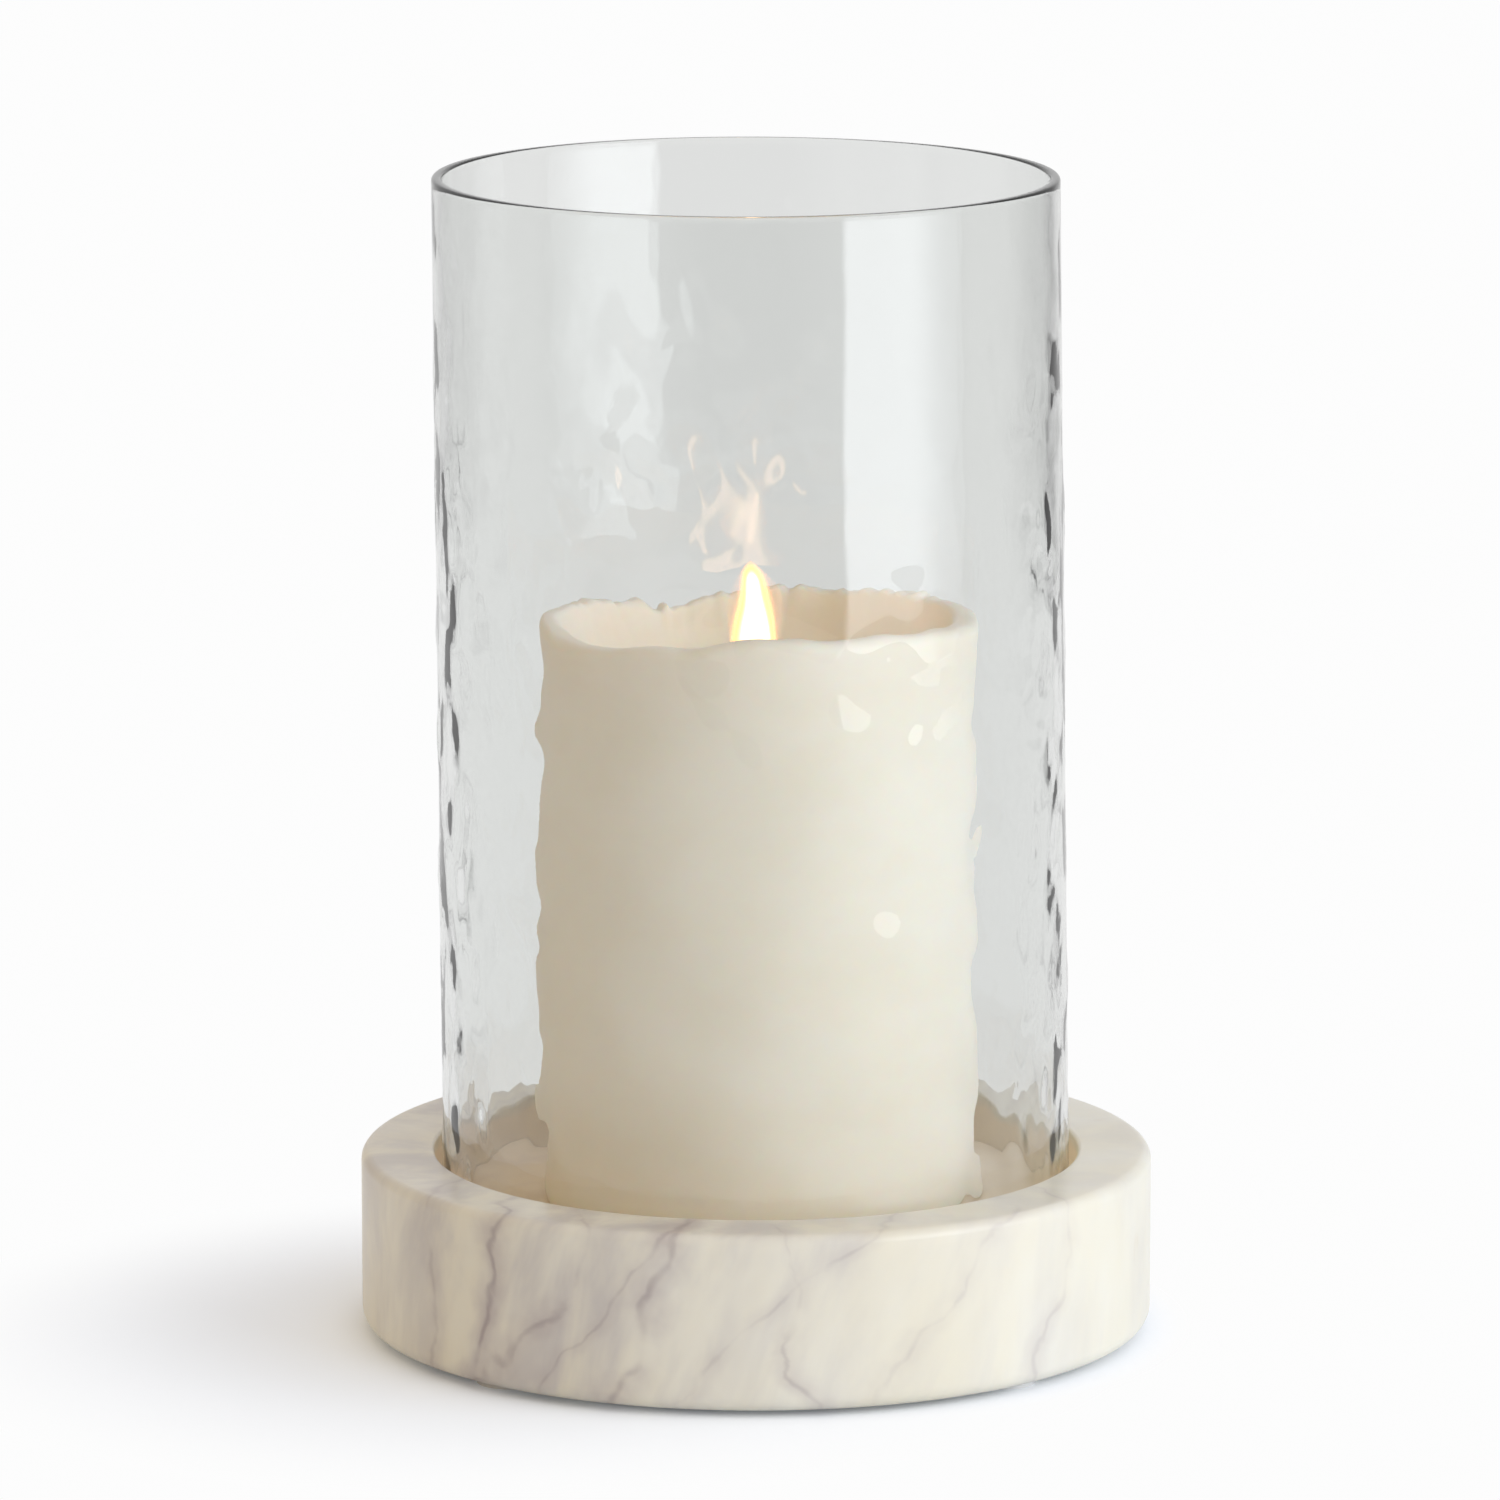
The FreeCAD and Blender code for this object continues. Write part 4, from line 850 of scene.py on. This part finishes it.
# %% Flame
FLAME_DIM = 0.8
FLAME_BRIGHT = 5.5
BRIGHT_HEAT = (0.5, 1.0)
SOLID_HEAT = (0.05, 0.7)
LEAST_SOLID = 0.04
FLAME_COLOURS = (
    (0.0, (1.0, 0.68, 0.44, 1)),
    (0.35, (1.0, 0.70, 0.38, 1)),
    (0.65, (1.0, 0.68, 0.28, 1)),
    (1.0, (1.0, 0.64, 0.40, 1)),
)


def flame_glow():
    """Light whose colour, brightness and solidity follow the stored heat."""
    material, tree, shader, coords = start_finish("flame_glow")
    heat = in_order(tree, "Attribute", attribute_name="glow_heat").outputs["Fac"]
    colour = ramp(tree, heat, FLAME_COLOURS)
    brightness = spread(tree, heat, *BRIGHT_HEAT, FLAME_DIM, FLAME_BRIGHT)
    solid = spread(tree, heat, *SOLID_HEAT, LEAST_SOLID, 1.0)
    fill(tree, shader, Base_Color=colour, Emission_Color=colour, Emission_Strength=brightness, Alpha=solid)
    uneven_gloss(tree, shader, noise(tree, coords, 3 * MM), 0.3, 0.45)
    return material


dress("flame_leaf", flame_glow())

# %% [markdown]
# ## Finishes inside the candle
# The pieces that a hand meets when it opens the candle keep the frame's solids, because their shapes
# are already right. They still need honest finishes. Most are one of a few families: moulded plastic
# with a fine spark-eroded grain, drawn or plated metal with faint brushing, and rubber. One function
# per family, with the colour as its argument, is enough.

# %% Families of finishes
def shade(colour, factor):
    """The same colour, lighter or darker by a factor."""
    return tuple(min(1.0, c * factor) for c in colour[:3]) + (1,)


def moulded_plastic(name, colour, rough=0.45, grain=0.6 * MM):
    """Plastic from a mould: slightly uneven colour, fine grain, soft gloss."""
    material, tree, shader, coords = start_finish(name)
    blots = spread(tree, noise(tree, coords, 12 * MM), 0.35, 0.65)
    fill(tree, shader, Base_Color=mix_colours(tree, blots, shade(colour, 1.05), shade(colour, 0.9)))
    uneven_gloss(tree, shader, noise(tree, coords, 3 * MM), rough - 0.06, rough + 0.08)
    bumped(tree, shader, noise(tree, coords, grain, 2), 0.02 * MM, 0.5)
    return material


def plated_metal(name, colour, rough=0.36, grain=(8, 8, 0.6)):
    """Metal with faint drawn lines: noise squeezed across the drawing direction."""
    material, tree, shader, coords = start_finish(name)
    drawn = add_node(tree, "Mapping", Vector=coords, Scale=grain).outputs[0]
    lines = noise(tree, drawn, 3 * MM, 5, 0.6)
    raised = spread(tree, lines, *NOISE_SPAN)
    brushed = mix_colours(tree, raised, shade(colour, 0.82), shade(colour, 1.08))
    fill(tree, shader, Base_Color=brushed, Metallic=1)
    uneven_gloss(tree, shader, lines, rough - 0.08, rough + 0.12)
    bumped(tree, shader, lines, 0.01 * MM, 0.4)
    return material


def soft_rubber(name, colour):
    """Dull rubber with a fine open grain and a dusting of wear."""
    material, tree, shader, coords = start_finish(name)
    worn = spread(tree, noise(tree, coords, 5 * MM, 6, 0.7), 0.45, 0.75, 0, 0.5)
    fill(tree, shader, Base_Color=mix_colours(tree, worn, colour, shade(colour, 1.8)), Roughness=0.8)
    bumped(tree, shader, noise(tree, coords, 0.8 * MM, 3), 0.05 * MM, 0.6)
    return material


# %% Dress the plain pieces
ivory_plastic = moulded_plastic("plastic_ivory", (0.80, 0.745, 0.60))
warm_plastic = moulded_plastic("plastic_housing", (0.74, 0.69, 0.57), 0.5)
black_plastic = moulded_plastic("plastic_black", (0.035, 0.035, 0.038), 0.4)
steel = plated_metal("steel_plated", (0.62, 0.62, 0.60))
nickel = plated_metal("nickel_sheet", (0.72, 0.70, 0.65), 0.24)

for node, finish in (
    ("flame_deck", ivory_plastic),
    ("candle_chassis", warm_plastic),
    ("battery_cover", warm_plastic),
    ("flame_carrier", moulded_plastic("plastic_carrier", (0.66, 0.66, 0.64))),
    ("coil_bobbin", moulded_plastic("plastic_bobbin", (0.10, 0.11, 0.12))),
    ("switch_case", black_plastic),
    ("switch_knob", moulded_plastic("plastic_knob", (0.05, 0.05, 0.055), 0.35)),
    ("timer_chip", moulded_plastic("epoxy_chip", (0.03, 0.03, 0.032), 0.6, 0.3 * MM)),
    ("board_screws", steel),
    ("carrier_screws", steel),
    ("pivot_wire", steel),
    ("cover_spring", steel),
    ("roof_spring", steel),
    ("flame_magnet", plated_metal("magnet_nickel", (0.66, 0.65, 0.63), 0.2)),
    ("positive_contact", nickel),
    ("negative_contact", nickel),
    ("cover_jumper", nickel),
    ("base_pads", moulded_plastic("silicone_pads", (0.78, 0.77, 0.74), 0.5)),
    ("coil_wires", plated_metal("copper_enamel", (0.60, 0.25, 0.10), 0.3)),
    ("switch_wires", soft_rubber("insulation_red", (0.40, 0.03, 0.025, 1))),
    ("lamp_wires", soft_rubber("insulation_dark", (0.05, 0.05, 0.055, 1))),
):
    dress(node, finish)

# %% [markdown]
# ## Finishes with a pattern of their own
# A few inside pieces show what they are by their pattern: a circuit board by its copper tracks under
# green lacquer, a coil by its turns, a resistor by its bands, a cell by its jacket and bare ends. Bands
# along an axis come from one coordinate, and a wave or a brick pattern gives the repeats.

# %% Bands, for the cells, the resistors and the capacitor
BAND_BLUR = 0.05 * MM
JACKET = (0.06, 0.16, 0.30)
TIN = (0.70, 0.70, 0.68)
JACKET_MARGIN = 2.5 * MM
SLEEVE = (0.03, 0.03, 0.05)
SLEEVE_MARGIN = 0.6 * MM
CLAY = (0.55, 0.43, 0.28)
BROWN = (0.13, 0.05, 0.02)
GOLD = (0.55, 0.38, 0.10)
BANDS_IN_LENGTH = 9


def banded(name, axis, colours, edges, rough=0.4):
    """Bands of colour along one axis: each edge, a place in metres, starts the next colour."""
    material, tree, shader, coords = start_finish(name)
    along = add_node(tree, "SeparateXYZ", Vector=coords).outputs[axis]
    colour = shade(colours[0], 1)
    for edge, following in zip(edges, colours[1:]):
        past = spread(tree, along, edge - BAND_BLUR, edge + BAND_BLUR)
        colour = mix_colours(tree, past, colour, shade(following, 1))
    worn = spread(tree, noise(tree, coords, 8 * MM, 5), *NOISE_SPAN, 0.88, 1.0)
    fill(tree, shader, Base_Color=mix_colours(tree, 1.0, colour, worn, "MULTIPLY"))
    uneven_gloss(tree, shader, noise(tree, coords, 2 * MM), rough - 0.08, rough + 0.08)
    return material


for cell in ("cell_left", "cell_right"):
    low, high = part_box(cell)
    jacket_ends = [low.z + JACKET_MARGIN, high.z - JACKET_MARGIN]
    dress(cell, banded("jacket_" + cell, 2, [TIN, JACKET, TIN], jacket_ends, 0.35))
low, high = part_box("resistors")
band = (high.x - low.x) / BANDS_IN_LENGTH
band_edges = [low.x + band * n for n in range(2, 8)]
dress("resistors", banded("resistor_bands", 0, [CLAY, BROWN, CLAY, BROWN, CLAY, GOLD, CLAY], band_edges))
can_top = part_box("capacitor")[1].z
dress("capacitor", banded("capacitor_sleeve", 2, [SLEEVE, TIN], [can_top - SLEEVE_MARGIN], 0.3))

# %% The board, the coil and the lamp
TRACK_STEP = 9 * MM
TRACK_WIDTH = 0.09
WINDING_WAVE = 6.3 * 0.35 * MM


def lacquered_board():
    """Green lacquer over copper tracks: the joints of a brick pattern make the runs."""
    material, tree, shader, coords = start_finish("board_lacquer")
    bricks = add_node(tree, "TexBrick", Vector=coords, Scale=1 / TRACK_STEP, Mortar_Size=TRACK_WIDTH)
    tracks = bricks.outputs["Fac"]
    fill(tree, shader, Base_Color=mix_colours(tree, tracks, (0.015, 0.13, 0.055, 1), (0.05, 0.26, 0.09, 1)))
    uneven_gloss(tree, shader, noise(tree, coords, 4 * MM), 0.28, 0.38)
    bumped(tree, shader, tracks, 0.04 * MM, 0.7)
    return material


def wound_copper():
    """Enamelled wire in close turns: a wave along the coil's axis tilts each turn, and paints shade between
    turns and a highlight on each crown.
    """
    material, tree, shader, coords = start_finish("copper_winding")
    wave = add_node(tree, "TexWave", Vector=coords, Scale=1 / WINDING_WAVE, Distortion=0.4, Detail=1)
    wave.bands_direction = "Z"
    turns = wave.outputs["Fac"]
    # Dark troughs are painted shade between the turns, and light crests a painted highlight on each.
    colour = mix_colours(tree, turns, (0.30, 0.10, 0.035, 1), (0.72, 0.33, 0.14, 1))
    fill(tree, shader, Base_Color=colour, Metallic=1)
    uneven_gloss(tree, shader, noise(tree, coords, 2 * MM), 0.28, 0.42)
    bumped(tree, shader, turns, 0.15 * MM, 0.8)
    return material


def clear_lamp():
    """Warm clear resin over the lamp's chip, lit from inside."""
    material, tree, shader, coords = start_finish("lamp_resin")
    warmth = spread(tree, noise(tree, coords, 2 * MM), *NOISE_SPAN)
    colour = mix_colours(tree, warmth, (0.95, 0.80, 0.50, 1), (0.90, 0.66, 0.32, 1))
    fill(tree, shader, Base_Color=colour, Emission_Color=(1.0, 0.55, 0.18, 1), Emission_Strength=0.6)
    uneven_gloss(tree, shader, noise(tree, coords, 1 * MM), 0.1, 0.2)
    return material


dress("circuit_board", lacquered_board())
dress("drive_coil", wound_copper())
dress("flame_lamp", clear_lamp())

# %% [markdown]
# ## Floor and backdrop
# The lantern stands on a round white table in front of a white backdrop, with a soft shadow beside it.
# A white floor under plain light is only light grey, so the rays that the eye sees get some extra white
# while the shadow stays in the part that the lamps light; away from the shadow the table is as white as
# the backdrop. Rays that carry light to the lantern meet an ordinary pale floor. The table is small, so
# that the foot of a tall lamp beyond its edge can still show in the glass.
# Close round the stone's foot that extra white is cut back, which paints a darker contact shade there.

# %% Table
TABLE_RADIUS = 1.12
TABLE_SIDES = 96

mesh = bpy.data.meshes.new("floor")
mesh.from_pydata(turned_points(TABLE_RADIUS, 0.0, angles(TABLE_SIDES)), [], [list(range(TABLE_SIDES))])
floor = bpy.data.objects.new("floor", mesh)
bpy.context.scene.collection.objects.link(floor)

# %% Floor finish
FLOOR_PALE = (0.89, 0.925, 0.965, 1)
FLOOR_LIFT = (0.205, 0.22, 0.235, 1)
# Close round the stone's foot the extra white drops to this share: a painted contact shade.
CONTACT_SHADE_LIFT = 0.4
BACKDROP_WHITE = 0.98
BACKDROP_IN_GLASS = 0.86
SHADOW_MIDDLE = (-0.055, -0.01, 0.0)
SHADOW_RANGE = (0.06, 0.145)
CONTACT_BAND = 9 * MM
CONTACT_RANGE = (stone_radius - CONTACT_BAND, stone_radius + CONTACT_BAND)


def pale_floor():
    """Pale floor: plain for light, and lifted to the backdrop's white for the eye and in the glass, less so
    round the stone's foot as a painted contact shade.
    """
    material, tree, _, coords = start_finish("floor_pale")
    path = add_node(tree, "LightPath").outputs
    white = spread(tree, path["Is Camera Ray"], 0, 1, BACKDROP_IN_GLASS, BACKDROP_WHITE)
    plain = add_node(tree, "BsdfDiffuse", Color=FLOOR_PALE).outputs[0]
    out = how_far(tree, coords, (0, 0, 0))
    # The extra white drops near the stone's foot, which paints a darker contact shade there.
    lift_with_contact_shade = product(tree, white, spread(tree, out, *CONTACT_RANGE, CONTACT_SHADE_LIFT))
    lift = add_node(tree, "Emission", Color=FLOOR_LIFT, Strength=lift_with_contact_shade).outputs[0]
    shaded = in_order(tree, "AddShader", plain, lift).outputs[0]
    backdrop = add_node(tree, "Emission", Strength=white).outputs[0]
    past_shadow = spread(tree, how_far(tree, coords, SHADOW_MIDDLE), *SHADOW_RANGE)
    far = calculate(tree, "MINIMUM", past_shadow, spread(tree, out, *CONTACT_RANGE))
    seen = calculate(tree, "ADD", path["Is Camera Ray"], path["Is Glossy Ray"])
    seen = calculate(tree, "ADD", seen, path["Is Transmission Ray"])
    near = mix_shaders(tree, far, shaded, backdrop)
    shown = mix_shaders(tree, calculate(tree, "MINIMUM", seen, 1.0), plain, near)
    fill(tree, tree.nodes["Material Output"], Surface=shown)
    return material


dress("floor", pale_floor())

# %% [markdown]
# ## Studio light
# One tall soft panel stands to the right of the camera. Its mirror image is a pale upright band on the
# right of the front wall of the glass, and a second one on the left of the back wall, because a hollow
# mirror swaps the sides. The panel is an area lamp that faces the lantern, set by the bearing of its two
# edges as seen from there. It has no image of its own for the eye, so a view straight through the glass
# from behind isn't washed out; only its light and its mirror images show, and in those one edge is
# nearly crisp while the other fades away. The world adds a soft fill, warm from the left and cool from
# the right, stays white for the camera, and turns grey towards the sides and the front for what mirrors
# or bends it, as a real room does.

# %% The panel
KEY_BEARINGS = (34, 83)
KEY_DISTANCE = 1.6
KEY_FOOT = -0.8
KEY_TOP = 1.1
KEY_RADIANCE = 2.9
KEY_COLOUR = (0.97, 1.0, 1.04)


def soft_panel(name, bearings, distance, foot, top, radiance):
    """An upright area lamp between two bearings, degrees right of the camera, as bright as a radiance."""
    ends = [np.array([math.sin(b), -math.cos(b)]) * distance for b in np.radians(bearings)]
    width = float(np.linalg.norm(ends[1] - ends[0]))
    lamp = bpy.data.lights.new(name, "AREA")
    lamp.shape = "RECTANGLE"
    lamp.size = width
    lamp.size_y = top - foot
    lamp.energy = radiance * math.pi * width * lamp.size_y
    lamp.color = KEY_COLOUR
    panel = bpy.data.objects.new(name, lamp)
    middle = (ends[0] + ends[1]) / 2
    panel.location = (middle[0], middle[1], (foot + top) / 2)
    panel.rotation_euler = (math.pi / 2, 0, math.atan2(middle[0], -middle[1]))
    panel.visible_camera = False
    bpy.context.scene.collection.objects.link(panel)
    print(f"{name}: {width:.2f} m wide, {lamp.energy:.1f} W")
    return lamp


key_lamp = soft_panel("key_panel", KEY_BEARINGS, KEY_DISTANCE, KEY_FOOT, KEY_TOP, KEY_RADIANCE)

# %% What the glass shows of the panel
KEY_CRISP = 0.06
KEY_FEATHER = 0.5
KEY_LEAST = 0.2


def mirror_only(lamp):
    """Hide a lamp from rays that come straight through glass, and feather its mirror images."""
    lamp.use_nodes = True
    tree = lamp.node_tree
    path = add_node(tree, "LightPath").outputs
    mirrored = calculate(tree, "MINIMUM", path["Glossy Depth"], 1.0)
    straight = calculate(tree, "SUBTRACT", 1.0, mirrored)
    hidden = product(tree, path["Is Transmission Ray"], straight)
    place = add_node(tree, "SeparateXYZ", Vector=add_node(tree, "NewGeometry").outputs["Parametric"])
    crisp = spread(tree, place.outputs["X"], 0.0, KEY_CRISP)
    feathered = spread(tree, place.outputs["X"], 1 - KEY_FEATHER, 1.0, 1.0, KEY_LEAST)
    fade = product(tree, crisp, feathered)
    fade = add_node(tree, "Mix", Factor=mirrored, A=1.0, B=fade).outputs[0]
    shown = calculate(tree, "SUBTRACT", 1.0, hidden)
    fill(tree, tree.nodes["Emission"], Strength=product(tree, shown, fade))


mirror_only(key_lamp)

# %% The room
FILL_LEFT = (0.63, 0.50, 0.34, 1)
FILL_RIGHT = (0.65, 0.70, 0.83, 1)
FILL_TURN = (-0.7, 0.5)
LEFT_WALL = (0.80, 0.80, 0.80, 1)
LEFT_TURN = (-0.6, -0.2)
LEFT_SHARE = 0.9
LEFT_BLOTS = 0.2
LEFT_NOISE = (0.35, 0.65)
LEFT_LEAST = 0.55
# Each pair is how far a direction points to the back, from -1 to 1, and how bright the room is there.
ROOM_LIGHT = (
    (-1.0, 0.30), (-0.3, 0.30), (0.0, 0.80), (0.35, 0.80), (0.6, 0.48), (0.88, 0.48),
    (0.955, BACKDROP_IN_GLASS),
)


def room_colours(tree):
    """The fill's colour and the room's colour in a direction, taken level with the floor."""
    direction = add_node(tree, "TexCoord").outputs["Generated"]
    level = in_order(tree, "VectorMath", direction, (1, 1, 0), operation="MULTIPLY").outputs["Vector"]
    level = in_order(tree, "VectorMath", level, operation="NORMALIZE").outputs["Vector"]
    level = add_node(tree, "SeparateXYZ", Vector=level).outputs
    warm = mix_colours(tree, spread(tree, level["X"], *FILL_TURN), FILL_LEFT, FILL_RIGHT)
    stops = [(ease(towards_back, -1, 1), (grey, grey, grey, 1)) for towards_back, grey in ROOM_LIGHT]
    room = ramp(tree, spread(tree, level["Y"], -1, 1), stops)
    patchy = spread(tree, noise(tree, direction, LEFT_BLOTS, 2), *LEFT_NOISE, LEFT_LEAST, 1.0)
    left = product(tree, spread(tree, level["X"], *LEFT_TURN, LEFT_SHARE, 0.0), patchy)
    return warm, mix_colours(tree, left, room, LEFT_WALL)


# %% The world
world = bpy.data.worlds.new("studio")
bpy.context.scene.world = world
world.use_nodes = True
tree = world.node_tree
tree.nodes.clear()
warm, room = room_colours(tree)
path = add_node(tree, "LightPath").outputs
bent = calculate(tree, "ADD", path["Is Glossy Ray"], path["Is Transmission Ray"])
fill_light = add_node(tree, "Background", Color=warm).outputs[0]
studio = add_node(tree, "Background", Color=room).outputs[0]
white = add_node(tree, "Background", Color=(1, 1, 1, 1), Strength=BACKDROP_WHITE).outputs[0]
mirrored = mix_shaders(tree, calculate(tree, "MINIMUM", bent, 1.0), fill_light, studio)
shown = mix_shaders(tree, path["Is Camera Ray"], mirrored, white)
add_node(tree, "OutputWorld", Surface=shown)
bpy.context.scene.view_settings.view_transform = "Standard"
print(f"world: {len(tree.nodes)} nodes, backdrop at {BACKDROP_WHITE}")

# %% [markdown]
# ## The camera
# The picture was taken from the front with a long lens, a little above the rim and looking slightly
# down. A long lens keeps the two sides of the glass nearly parallel. The distance, height and tilt were
# worked out from the ellipses of the base, the recess and the rim.

# %% Camera
CAMERA_DISTANCE = 2.25
CAMERA_HEIGHT = 0.5626
CAMERA_SIDE = -0.00144
CAMERA_TILT = 10.732
CAMERA_LENS = 237.46
CAMERA_SENSOR = 36

camera_data = bpy.data.cameras.new("camera")
camera_data.sensor_width = CAMERA_SENSOR
camera_data.lens = CAMERA_LENS
camera = bpy.data.objects.new("camera", camera_data)
camera.location = (CAMERA_SIDE, -CAMERA_DISTANCE, CAMERA_HEIGHT)
camera.rotation_euler = (math.radians(90 - CAMERA_TILT), 0, 0)
bpy.context.scene.collection.objects.link(camera)
bpy.context.scene.camera = camera
print(f"camera {CAMERA_DISTANCE} m in front, {CAMERA_LENS} mm lens")
